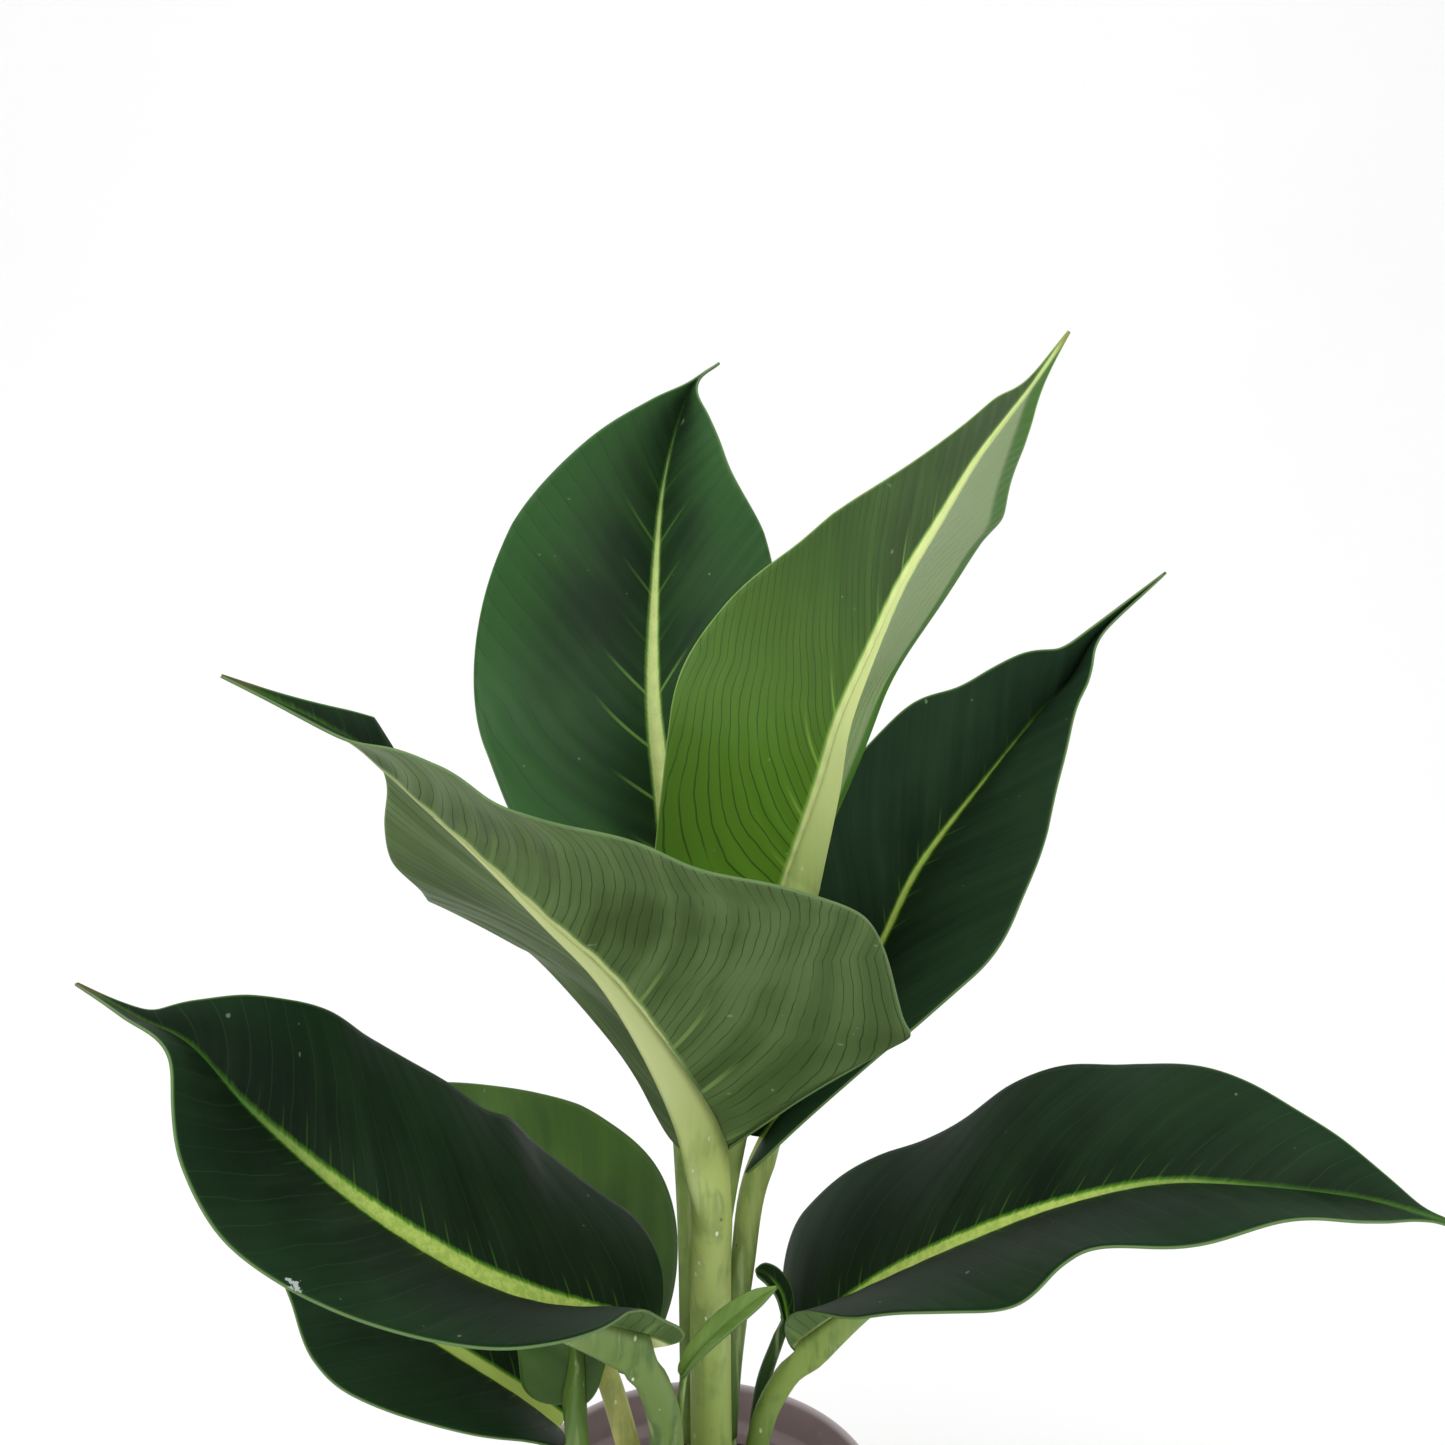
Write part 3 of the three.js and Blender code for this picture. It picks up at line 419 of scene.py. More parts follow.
def smooth_values(points, share):
    """Values at each share, from 0 to 1, of a smooth curve through evenly spaced points."""
    knots = np.asarray(points, float)
    if knots.ndim == 1:
        knots = knots[:, None]
    last = len(knots) - 1
    place = last * np.atleast_1d(share)
    index = np.minimum(np.floor(place).astype(int), last - 1)
    step = (place - index)[:, None]
    padded = np.vstack([2 * knots[0] - knots[1], knots, 2 * knots[-1] - knots[-2]])
    before, start, end, after = (padded[index + k] for k in range(4))
    leave = (end - before) / 2
    arrive = (after - start) / 2
    square = 3 * (end - start) - 2 * leave - arrive
    cube = 2 * (start - end) + leave + arrive
    return start + leave * step + square * step ** 2 + cube * step ** 3


def even_shares(points, steps):
    """Shares of a curve at equal lengths along it, and its whole length."""
    fine = np.linspace(0, 1, 401)
    places = smooth_values(points, fine)
    lengths = np.r_[0, np.cumsum(np.linalg.norm(np.diff(places, axis=0), axis=1))]
    return np.interp(np.asarray(steps) * lengths[-1], lengths, fine), lengths[-1]


def unit(vectors):
    """The same directions with length 1."""
    return vectors / np.linalg.norm(vectors, axis=-1, keepdims=True)


def rib_frames(leaf, steps):
    """Along a midrib: share, length, point, direction, the leaf's right side and its upper side."""
    share, length = even_shares(leaf["rib"], steps)
    ahead = smooth_values(leaf["rib"], np.clip(share + BLADE["easing"], 0, 1))
    behind = smooth_values(leaf["rib"], np.clip(share - BLADE["easing"], 0, 1))
    along = unit(ahead - behind)
    side = unit(np.cross(along, np.asarray(leaf["face"], float)))
    up = np.cross(side, along)
    return share, length, smooth_values(leaf["rib"], share), along, side, up


def half_surface(leaf, name, steps, out):
    """Points of one half and their measures: rows along the midrib, columns out to the margin."""
    half = leaf[name]
    sign = 1 if name == "right" else -1
    share, length, rib, along, side, up = rib_frames(leaf, steps)
    lift = np.radians(smooth_values(half["lift"], share))
    outward = np.cos(lift) * sign * side + np.sin(lift) * up
    upward = np.cos(lift) * up - np.sin(lift) * sign * side
    round_off = np.sqrt(1 - (1 - np.clip(steps / BLADE["base_round"], 0, 1)) ** 2)
    tip_share, tip_loss = BLADE["tip"]
    neck = BLADE["neck"] * (1 - tip_loss * np.clip((steps - 1 + tip_share) / tip_share, 0, 1))
    reach = np.clip(smooth_values(half["width"], share)[:, 0], 0, None) * round_off + neck
    lobe = np.clip(1 - steps / BLADE["lobe_reach"], 0, 1) ** BLADE["lobe_fade"]
    forward = BLADE["sweep"] * np.clip(2 * steps, 0, 1) - half["lobe"] * lobe
    fullness = np.clip(reach / BLADE["full_width"], 0, 1)
    height, count, start = half["wave"]
    wave = height * np.sin(2 * np.pi * (count * steps + start)) * fullness
    out_row = out[None, :]
    bent = (1 - BLADE["bend"]) * out_row + BLADE["bend"] * out_row ** 2
    ahead_mm = (reach * forward)[:, None] * bent
    arch = reach[:, None] * BLADE["arch"] * 4 * out_row * (1 - out_row)
    across = reach[:, None] * out_row
    place = (steps * length)[:, None] + ahead_mm
    turn_start, turn_share = BLADE["vein_turn"]
    spread = np.clip((place / length + turn_start) / turn_share, 0, 1)
    near, far = leaf["slant"]
    wide = np.maximum(reach, BLADE["least_width"])[:, None]
    lean = near * across + (far - near) / 2 * across ** 2 / wide
    vein = place - spread * lean
    depth, spacing = leaf["quilt"]
    inside = np.sin(np.pi * np.sqrt(out_row)) ** BLADE["ripple_power"]
    ripple = depth * np.sin(2 * np.pi * vein / spacing) * inside
    raised = arch + wave[:, None] * out_row ** 2 + ripple * fullness[:, None]
    points = (rib[:, None] + across[..., None] * outward[:, None]
              + ahead_mm[..., None] * along[:, None] + raised[..., None] * upward[:, None])
    measures = {
        "vein_mm": vein,
        "across_mm": across,
        "margin_mm": reach[:, None] - across,
        "signed_mm": sign * across,
        "along": np.repeat(steps[:, None], len(out), 1),
    }
    return points, measures


# ------------------------------------------------------------------ mesh work


def deselect_all():
    bpy.ops.object.select_all(action="DESELECT")


def new_grid(name, columns, rows):
    """A flat grid of columns and rows of faces, the start of every piece here."""
    deselect_all()
    bpy.ops.mesh.primitive_grid_add(
        x_subdivisions=columns, y_subdivisions=rows, size=1, calc_uvs=True, location=(0, 0, 0))
    piece = bpy.context.active_object
    piece.name = name
    piece.data.name = name
    return piece


def place_vertices(piece, points):
    """Moves the grid's vertices, row by row, to points given in mm."""
    flat = (np.asarray(points, float).reshape(-1, 3) * MM).astype(np.float32)
    piece.data.vertices.foreach_set("co", flat.ravel())
    piece.data.update()


def add_measures(piece, measures):
    """Keeps a value for each vertex, which the materials read."""
    for name, values in measures.items():
        layer = piece.data.attributes.new(name, "FLOAT", "POINT")
        layer.data.foreach_set("value", np.asarray(values, np.float32).ravel())


def edit_all(*steps):
    """Takes the steps in edit mode, with all of the piece selected."""
    bpy.ops.object.mode_set(mode="EDIT")
    bpy.ops.mesh.select_all(action="SELECT")
    for step in steps:
        step()
    bpy.ops.object.mode_set(mode="OBJECT")


def join_doubles():
    """Closes the seam and the two ends of a rolled grid, whose points lie on each other there."""
    bpy.ops.mesh.remove_doubles(threshold=2e-6)


def face_outwards():
    bpy.ops.mesh.normals_make_consistent(inside=False)


def finish_piece(piece, node):
    """Smooth shading, then the piece is parented to the root body and the imported part it replaces
    is hidden.
    """
    bpy.ops.object.shade_smooth()
    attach(piece, "root")
    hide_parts(node)


def rolled_tube(name, rings, material, rise=None):
    """A closed body from rings of points, of which the first and the last are single points.

    rise is a value for each ring, kept for the material.
    """
    rings = np.asarray(rings, float)
    closed = np.concatenate([rings, rings[:, :1]], axis=1)
    piece = new_grid(name, closed.shape[1] - 1, closed.shape[0] - 1)
    place_vertices(piece, closed)
    if rise is not None:
        add_measures(piece, {"rise": np.repeat(rise, closed.shape[1])})
    edit_all(join_doubles, face_outwards)
    piece.data.materials.append(material)
    return piece


# ------------------------------------------------------------------ material tools


class Paint:
    """Adds nodes to one material and joins them."""

    def __init__(self, name, roughness=0.5):
        self.material = bpy.data.materials.new(name)
        self.material.use_nodes = True
        self.tree = self.material.node_tree
        self.shader = self.tree.nodes["Principled BSDF"]
        self.shader.inputs["Roughness"].default_value = roughness

    def add(self, kind, **settings):
        node = self.tree.nodes.new(kind)
        for name, value in settings.items():
            setattr(node, name, value)
        return node

    def feed(self, node, socket, value):
        if isinstance(value, bpy.types.NodeSocket):
            self.tree.links.new(value, node.inputs[socket])
        else:
            node.inputs[socket].default_value = value

    def attribute(self, name):
        return self.add("ShaderNodeAttribute", attribute_name=name).outputs["Fac"]

    def object_place(self):
        return self.add("ShaderNodeTexCoord").outputs["Object"]

    def math(self, operation, first, second=0.0):
        node = self.add("ShaderNodeMath", operation=operation)
        self.feed(node, 0, first)
        self.feed(node, 1, second)
        return node.outputs[0]

    def times(self, first, second):
        return self.math("MULTIPLY", first, second)

    def plus(self, first, second):
        return self.math("ADD", first, second)

    def minus(self, first, second):
        return self.math("SUBTRACT", first, second)

    def step(self, value, low, high, start=0.0, end=1.0, kind="SMOOTHSTEP"):
        """From start, where value is low, to end, where it is high."""
        node = self.add("ShaderNodeMapRange", interpolation_type=kind)
        self.feed(node, "Value", value)
        self.feed(node, "From Min", low)
        self.feed(node, "From Max", high)
        self.feed(node, "To Min", start)
        self.feed(node, "To Max", end)
        return node.outputs["Result"]

    def vector(self, x, y, z=0.0):
        node = self.add("ShaderNodeCombineXYZ")
        self.feed(node, 0, x)
        self.feed(node, 1, y)
        self.feed(node, 2, z)
        return node.outputs[0]

    def scaled(self, vector, scale):
        node = self.add("ShaderNodeMapping")
        self.feed(node, "Vector", vector)
        self.feed(node, "Scale", scale)
        return node.outputs[0]

    def noise(self, vector, scale, detail=3.0, roughness=0.55):
        node = self.add("ShaderNodeTexNoise")
        self.feed(node, "Vector", vector)
        self.feed(node, "Scale", scale)
        self.feed(node, "Detail", detail)
        self.feed(node, "Roughness", roughness)
        return node.outputs["Fac"]

    def specks(self, vector, scale, core, rim):
        """1 within the core of small round specks, 0 beyond their rim."""
        node = self.add("ShaderNodeTexVoronoi")
        self.feed(node, "Vector", vector)
        self.feed(node, "Scale", scale)
        return self.step(node.outputs["Distance"], rim, core)

    def mix(self, share, first, second):
        node = self.add("ShaderNodeMix", data_type="RGBA")
        self.feed(node, 0, share)
        self.feed(node, 6, first)
        self.feed(node, 7, second)
        return node.outputs[2]

    def bump(self, height, strength, distance, normal=None):
        node = self.add("ShaderNodeBump")
        self.feed(node, "Strength", strength)
        self.feed(node, "Distance", distance)
        self.feed(node, "Height", height)
        if normal is not None:
            self.feed(node, "Normal", normal)
        return node.outputs["Normal"]

    def finish(self, colour, normal=None, roughness=None):
        self.feed(self.shader, "Base Color", colour)
        if normal is not None:
            self.feed(self.shader, "Normal", normal)
        if roughness is not None:
            self.feed(self.shader, "Roughness", roughness)
        return self.material


# ------------------------------------------------------------------ materials


def leaf_colour(paint, finish, facts, place):
    """The greens of one side of a blade, with painted shade and light along its folds, and its side
    veins.
    """
    vein, across, along, margin = facts
    cloudy = paint.noise(place, scale=16.0)
    fold_spacing, fold_shade_strength = finish["folds"]
    fold = paint.math("SINE", paint.times(vein, 2 * np.pi / fold_spacing))
    along_veins = paint.vector(paint.times(vein, 0.11), paint.times(across, 0.015))
    uneven = paint.noise(along_veins, scale=1.0, detail=4.0)
    # Painted shade and light: the folds darken and lighten the greens, most strongly near the base.
    fold_shade_near_base = paint.step(along, 0.55, 0.15, 0.15, 1.0)
    painted_fold_shade = paint.times(fold, paint.times(fold_shade_near_base, LEAF_LOOK["fold"] * fold_shade_strength))
    streaks = paint.times(uneven, LEAF_LOOK["streaks"])
    light = paint.plus(paint.plus(cloudy, streaks), painted_fold_shade)
    light_share = paint.step(light, *LEAF_LOOK["greens"])
    colour = paint.mix(light_share, finish["deep"], finish["light"])

    tint, strength = finish["base"]
    colour = paint.mix(paint.step(along, *LEAF_LOOK["base"], 0.0, strength), colour, tint)
    tint, strength = finish["outer"]
    width = paint.plus(paint.plus(across, margin), 1.0)
    outward = paint.math("DIVIDE", across, width)
    patchy = paint.times(paint.minus(cloudy, 0.5), 0.5)
    outer_share = paint.step(paint.plus(outward, patchy), *LEAF_LOOK["outer"], 0.0, strength)
    colour = paint.mix(outer_share, colour, tint)

    spacing, thin, vein_colour, strength = finish["veins"]
    wander = paint.times(paint.noise(place, scale=32.0, roughness=0.45), VEIN_WANDER)
    phase = paint.times(paint.plus(vein, wander), 2 * np.pi / spacing)
    line = paint.step(paint.math("SINE", phase), thin, 1.0)
    broken = paint.step(paint.noise(place, scale=55.0, detail=2.0), 0.3, 0.55, 0.25, 1.0)
    line_share = paint.times(line, paint.times(broken, strength))
    return paint.mix(line_share, colour, vein_colour), fold


def band_colour(paint, finish, band, facts, colour, place):
    """The pale band along the midrib, with torn edges, pale veins leaving it and green flecks."""
    vein, across, along, _ = facts
    wide, end, line_width, fleck_share = band
    half_width = paint.step(along, 0.0, end, wide, line_width, kind="LINEAR")
    tears = paint.vector(paint.times(vein, 0.9), paint.times(across, 0.2))
    torn = paint.minus(paint.noise(tears, scale=1.0, detail=5.0, roughness=0.65), 0.5)
    ragged = paint.times(torn, 0.5 + 3.4 * fleck_share)
    inner = paint.minus(across, paint.plus(half_width, ragged))

    spacing, reach, strength = finish["rays"]
    ray = paint.math("SINE", paint.times(vein, 2 * np.pi / spacing))
    chance = paint.noise(paint.vector(paint.times(vein, 0.6 / spacing), 0.0), scale=1.0, detail=2.0)
    far_end = paint.times(chance, 2.4 * reach)
    ray_share = paint.step(paint.minus(inner, far_end), 0.0, -reach, 0.0, strength)
    ray_share = paint.times(ray_share, paint.step(chance, 0.4, 0.5))
    ray_share = paint.times(ray_share, paint.step(ray, 0.95, 0.998))
    ray_share = paint.times(ray_share, paint.step(along, 0.85, 0.4))
    colour = paint.mix(ray_share, colour, finish["band_rim"])

    rim_strength, rim_width = LEAF_LOOK["rim"]
    rim_share = paint.step(inner, rim_width, 0.0, 0.0, rim_strength)
    rim_share = paint.times(rim_share, paint.step(along, end, end * 0.6, 0.3, 1.0))
    colour = paint.mix(rim_share, colour, finish["band_rim"])
    speckled = paint.noise(place, scale=420.0, detail=4.0, roughness=0.7)
    flecks = paint.step(speckled, 0.42, 0.6, 0.0, fleck_share)
    middle = paint.mix(flecks, finish["band"], finish["band_rim"])
    middle = paint.mix(paint.step(along, end * 0.55, end), middle, finish["line"])
    return paint.mix(paint.step(inner, 0.3, -0.5), colour, middle)


def leaf_material(finish_name, band, leaf_name):
    """One side of a blade: its greens, its band, a little dust, its margin and its drip tip."""
    finish = FINISHES[finish_name]
    paint = Paint(f"{leaf_name}_{finish_name}", finish["roughness"])
    paint.shader.inputs["Specular IOR Level"].default_value = finish["shine"]
    facts = [paint.attribute(key) for key in ("vein_mm", "across_mm", "along", "margin_mm")]
    _, _, along, margin = facts
    place = paint.object_place()
    colour, fold = leaf_colour(paint, finish, facts, place)
    if leaf_name == "top":
        colour = pale_half(paint, colour, margin)
    colour = band_colour(paint, finish, band, facts, colour, place)
    start, full, strength = LEAF_LOOK["dust"]
    grains = paint.noise(place, scale=300.0, detail=1.0, roughness=0.3)
    colour = paint.mix(paint.step(grains, start, full, 0.0, strength), colour, DUST_COLOUR)
    start, full, strength = LEAF_LOOK["edge"]
    colour = paint.mix(paint.step(margin, start, full, 0.0, strength), colour, finish["edge"])
    colour = paint.mix(paint.step(along, *LEAF_LOOK["tip"]), colour, finish["tip"])
    if leaf_name == "left_low":
        colour = paint.mix(scar(paint, place), colour, SCAR_COLOUR)
    grain = paint.noise(place, scale=700.0, detail=2.0)
    normal = paint.bump(fold, 0.5, finish["relief"])
    normal = paint.bump(grain, 0.1, 0.0003, normal)
    return paint.finish(colour, normal)


def edge_material():
    """The thin edge all round a blade."""
    paint = Paint("leaf_edge")
    clouds = paint.noise(paint.object_place(), scale=200.0)
    return paint.finish(paint.mix(clouds, srgb(74, 104, 52), srgb(98, 128, 70)))


def pale_half(paint, colour, margin):
    """The half of the top leaf that turns its back to the light: paler, with a green margin."""
    left = paint.step(paint.attribute("signed_mm"), 0.4, -0.4)
    inside = paint.step(margin, 3.0, 6.0)
    share = paint.times(left, paint.times(inside, 0.75))
    colour = paint.mix(share, colour, srgb(146, 168, 118))
    outside = paint.times(left, paint.step(margin, 6.0, 3.0, 0.0, 0.8))
    return paint.mix(outside, colour, srgb(64, 112, 34))


def scar(paint, place):
    """1 in a small ragged spot round the scar's place."""
    spot = tuple(MM * value for value in SCAR_PLACE)
    away = paint.add("ShaderNodeVectorMath", operation="DISTANCE")
    paint.feed(away, 0, place)
    paint.feed(away, 1, spot)
    ragged = paint.times(paint.noise(place, scale=600.0, detail=2.0), 0.007)
    return paint.step(paint.plus(away.outputs["Value"], ragged), 0.0052, 0.0046, 0.0, 0.9)


def stalk_material(name):
    """Pale green stalks with lengthwise streaks, darker patches and small light and brown specks."""
    foot, blade, ridge, mottle = STALK_SKINS[name]
    paint = Paint(f"stalk_skin_{name}", 0.48)
    paint.shader.inputs["Specular IOR Level"].default_value = 0.3
    place = paint.object_place()
    rise = paint.attribute("rise")
    streaks = paint.noise(paint.scaled(place, (1, 1, 0.08)), scale=260.0)
    clouds = paint.noise(place, scale=60.0)
    colour = paint.mix(paint.step(rise, 0.1, 0.95), foot, blade)
    colour = paint.mix(paint.step(rise, 0.95, 1.35), colour, ridge)
    patch = paint.step(paint.plus(streaks, clouds), 0.9, 1.16, 0.0, mottle)
    below_ridge = paint.step(rise, 1.2, 0.9)
    colour = paint.mix(paint.times(patch, below_ridge), colour, srgb(70, 100, 44))
    pale = paint.step(streaks, 0.56, 0.72, 0.0, 0.35)
    colour = paint.mix(pale, colour, srgb(196, 208, 150))
    few = paint.times(paint.step(clouds, 0.37, 0.46), below_ridge)
    white = paint.specks(paint.scaled(place, (1, 1, 0.5)), scale=190.0, core=0.06, rim=0.115)
    colour = paint.mix(paint.times(white, few), colour, srgb(222, 226, 200))
    brown = paint.specks(place, scale=95.0, core=0.035, rim=0.06)
    colour = paint.mix(brown, colour, srgb(126, 104, 62))
    normal = paint.bump(streaks, 0.2, 0.0005)
    return paint.finish(colour, normal)


def pot_material(settings):
    """Satin moulded plastic, a dusty mauve brown, with fine scuffs and a painted highlight along the
    lip.
    """
    paint = Paint("pot_plastic", 0.42)
    place = paint.object_place()
    clouds = paint.noise(place, scale=30.0, detail=4.0)
    grain = paint.noise(place, scale=900.0, detail=2.0)
    colour = paint.mix(paint.step(clouds, 0.35, 0.7), settings.pot_dark, settings.pot_light)
    scuffs = paint.step(paint.noise(place, scale=140.0, detail=5.0, roughness=0.7), 0.62, 0.72)
    colour = paint.mix(paint.times(scuffs, 0.25), colour, srgb(190, 176, 174))
    # Painted highlight: the rounded lip is painted paler near its top, where it catches the light.
    height = paint.add("ShaderNodeSeparateXYZ")
    paint.feed(height, 0, place)
    lip = MM * POT["height"]
    lip_highlight_share = paint.step(height.outputs["Z"], lip - 0.0025, lip - 0.0005, 0.0, 0.6)
    colour = paint.mix(lip_highlight_share, colour, srgb(196, 184, 188))
    normal = paint.bump(grain, 0.08, 0.0004)
    return paint.finish(colour, normal, paint.step(clouds, 0.3, 0.7, 0.38, 0.5))


def soil_material(settings):
    """Moist dark peat with paler fibres and grit."""
    paint = Paint("peat", 0.95)
    place = paint.object_place()
    crumbs = paint.noise(place, scale=320.0, detail=6.0, roughness=0.7)
    patches = paint.noise(place, scale=60.0)
    colour = paint.mix(crumbs, settings.soil_dark, settings.soil_light)
    colour = paint.mix(paint.step(patches, 0.55, 0.75, 0.0, 0.5), colour, srgb(92, 76, 58))
    grit = paint.specks(place, scale=240.0, core=0.12, rim=0.18)
    colour = paint.mix(grit, colour, srgb(170, 160, 140))
    normal = paint.bump(crumbs, 0.8, 0.002)
    return paint.finish(colour, normal)


def studio_material():
    """The pale matt floor."""
    paint = Paint("studio_white", 0.9)
    clouds = paint.noise(paint.object_place(), scale=3.0, detail=2.0)
    return paint.finish(paint.mix(clouds, (0.9, 0.9, 0.9, 1), (0.93, 0.93, 0.93, 1)))


# ------------------------------------------------------------------ settings


class PlantSettings(bpy.types.PropertyGroup):
    """Thickness of the leaves, how finely pieces are made, and the colours of the pot and soil."""

    leaf_rows: bpy.props.IntProperty(
        name="Leaf rows", description="Faces along a large blade", default=170, min=20)
    leaf_columns: bpy.props.IntProperty(
        name="Leaf columns", description="Faces from a midrib to its margin", default=26, min=4)
    leaf_thickness: bpy.props.FloatProperty(
        name="Leaf thickness", description="Thickness of a blade", default=0.0007,
        unit="LENGTH", subtype="DISTANCE")
    stalk_sides: bpy.props.IntProperty(
        name="Stalk sides", description="Faces round a leaf stalk", default=24, min=8)
    pot_sides: bpy.props.IntProperty(
        name="Pot sides", description="Faces round the pot", default=128, min=24)
    pot_dark: bpy.props.FloatVectorProperty(
        name="Pot, dark", description="Darker colour of the pot's plastic",
        default=srgb(146, 126, 128), size=4, min=0, max=1, subtype="COLOR")
    pot_light: bpy.props.FloatVectorProperty(
        name="Pot, light", description="Lighter colour of the pot's plastic",
        default=srgb(164, 144, 146), size=4, min=0, max=1, subtype="COLOR")
    soil_dark: bpy.props.FloatVectorProperty(
        name="Soil, dark", description="Colour between the crumbs of the soil",
        default=srgb(26, 20, 16), size=4, min=0, max=1, subtype="COLOR")
    soil_light: bpy.props.FloatVectorProperty(
        name="Soil, light", description="Colour of the crumbs of the soil",
        default=srgb(78, 62, 48), size=4, min=0, max=1, subtype="COLOR")


class StudioSettings(bpy.types.PropertyGroup):
    """The camera and the lights."""

    camera_place: bpy.props.FloatVectorProperty(
        name="Camera", description="Where the camera stands", default=(0.008, -0.44, 0.438),
        size=3, unit="LENGTH", subtype="TRANSLATION")
    camera_tilt: bpy.props.FloatProperty(
        name="Tilt", description="How far the camera looks down", default=float(np.radians(10)),
        unit="ROTATION", subtype="ANGLE")
    camera_lens: bpy.props.FloatProperty(
        name="Lens", description="Focal length in mm on a 36 mm wide sensor", default=37.37)
    sky_strength: bpy.props.FloatProperty(
        name="Room light", description="Strength of the light from all round", default=0.95)
    key_power: bpy.props.FloatProperty(
        name="Key light", description="Power of the large lamp overhead", default=9.0,
        unit="POWER")
    fill_power: bpy.props.FloatProperty(
        name="Fill light", description="Power of the lamp beside the camera", default=3.0,
        unit="POWER")


# ------------------------------------------------------------------ the pieces


def blade_mesh(name, settings, materials):
    """One blade: a grid laid on the leaf's surface and given its thickness."""
    leaf = LEAVES[name]
    _, length = even_shares(leaf["rib"], [0.0])
    size = min(1.0, max(BLADE["least_share"], length / BLADE["full_length"]))
    rows = int(settings.leaf_rows * size)
    columns = max(8, int(settings.leaf_columns * size))
    steps = (np.arange(rows + 1) / rows) ** BLADE["row_power"]
    out = np.arange(columns + 1) / columns
    left, left_facts = half_surface(leaf, "left", steps, out)
    right, right_facts = half_surface(leaf, "right", steps, out)
    points = np.concatenate([left[:, :0:-1], right], axis=1)
    facts = {key: np.concatenate([left_facts[key][:, :0:-1], right_facts[key]], axis=1)
             for key in left_facts}
    piece = new_grid(f"leaf_blade_{name}", 2 * columns, rows)
    place_vertices(piece, points)
    add_measures(piece, facts)
    for material in materials:
        piece.data.materials.append(material)
    wall = piece.modifiers.new("thickness", "SOLIDIFY")
    wall.thickness = settings.leaf_thickness
    wall.offset = 0
    wall.material_offset = 1
    wall.material_offset_rim = 2
    bpy.ops.object.modifier_apply(modifier=wall.name)
    return piece


class PLANT_OT_leaf_blades(bpy.types.Operator):
    """Make the twelve blades"""

    bl_idname = "plant.leaf_blades"
    bl_label = "Leaf blades"

    def execute(self, context):
        settings = context.scene.plant_settings
        edge = edge_material()
        for name in LEAVES:
            sides = [leaf_material(finish, band, name) for finish, band in LEAF_SIDES[name]]
            piece = blade_mesh(name, settings, (*sides, edge))
            finish_piece(piece, f"blade_{name}")
        return {"FINISHED"}


def stalk_rings(name, sides):
    """Rings up a round stalk and on along the ridge that it forms under the blade.

    Each has its rise: 0 at the foot, 1 at the blade, 2 at the end of the ridge.
    """
    stalk = STALKS[name]
    leaf = LEAVES[name]
    on_stem = stalk.get("on_stem", False)
    foot = MAIN_STEM["top"] + GAP if on_stem else SOIL["level"] - SOIL["hole_depth"] + GAP
    level = MAIN_STEM["top"] if on_stem else SOIL["level"]
    x, y, _ = stalk["path"][0]
    low, high = stalk["radius"]
    run = np.linspace(0, 1, RIDGE["rings"])
    steps = RIDGE["start"] + (stalk["ridge"] - RIDGE["start"]) * run
    ridge, along = ridge_rings(leaf, steps, high, sides)
    first = ridge[0]
    centre = first.mean(0)
    upright = level + STALK["upright"]
    path = [[x, y, foot], [x, y, upright]] + stalk["path"][1:] + [centre - along]
    climb = np.linspace(0, 1, STALK["rings"])
    share, length = even_shares(path, climb)
    middles = smooth_values(path, share)
    radii = low + (high - low) * climb
    rings = round_stations(middles, radii, first[0] - first[sides // 2], sides)
    turned = np.clip(1 - (1 - climb) * length / (STALK["blend"] * high), 0, 1)
    turned = (turned ** 2 * (3 - 2 * turned))[:, None, None]
    rings = rings * (1 - turned) + (middles[:, None] + first - centre) * turned
    ends = [np.repeat(ring.mean(0, keepdims=True), sides, 0) for ring in (rings[0], ridge[-1])]
    return np.array([ends[0], *rings, *ridge, ends[1]]), np.r_[0, climb, 1 + run, 2]


def round_stations(middles, radii, last_across, sides):
    """Round rings along a path, without a twist, that fit the direction across the last one."""
    along = unit(np.gradient(middles, axis=0))
    along[0] = (0, 0, 1)
    angles = 2 * np.pi * np.arange(sides) / sides
    across = last_across
    rings = []
    for middle, direction, radius in zip(middles[::-1], along[::-1], radii[::-1]):
        across = unit(across - direction * np.dot(across, direction))
        other = np.cross(direction, across)
        rings.append(middle + radius * (np.cos(angles)[:, None] * across
                                        + np.sin(angles)[:, None] * other))
    return np.array(rings[::-1])


def ridge_rings(leaf, steps, radius, sides):
    """Rings of the raised midrib, whose flanks lie on both halves, and its first direction."""
    share, _, rib, along, side, up = rib_frames(leaf, steps)
    left, right = (np.radians(smooth_values(leaf[half]["lift"], share)) for half in ("left", "right"))
    turn = (right - left) / 2
    under = side * np.sin(turn) - up * np.cos(turn)
    to_left = up * np.sin(left) - side * np.cos(left)
    to_right = up * np.sin(right) + side * np.cos(right)
    to_end = 1 - np.linspace(0, 1, len(steps))
    end_width, end_depth = RIDGE["end"]
    width = RIDGE["flank"] * radius * to_end ** RIDGE["flank_fall"] + end_width
    depth = (2 * radius - 1) * to_end ** RIDGE["depth_fall"] + end_depth
    angles = 2 * np.pi * np.arange(sides) / sides
    rings = []
    for number, point in enumerate(rib):
        ring = []
        for angle in angles:
            reach = np.cos(angle)
            flank = to_right[number] if reach > 0 else to_left[number]
            below = max(np.sin(angle), 0) ** RIDGE["round"]
            out = abs(reach) * width[number] * (1 - RIDGE["waist"] * below)
            ring.append(point + flank * out + under[number] * below * depth[number])
        rings.append(np.array(ring))
    return rings, along[0]


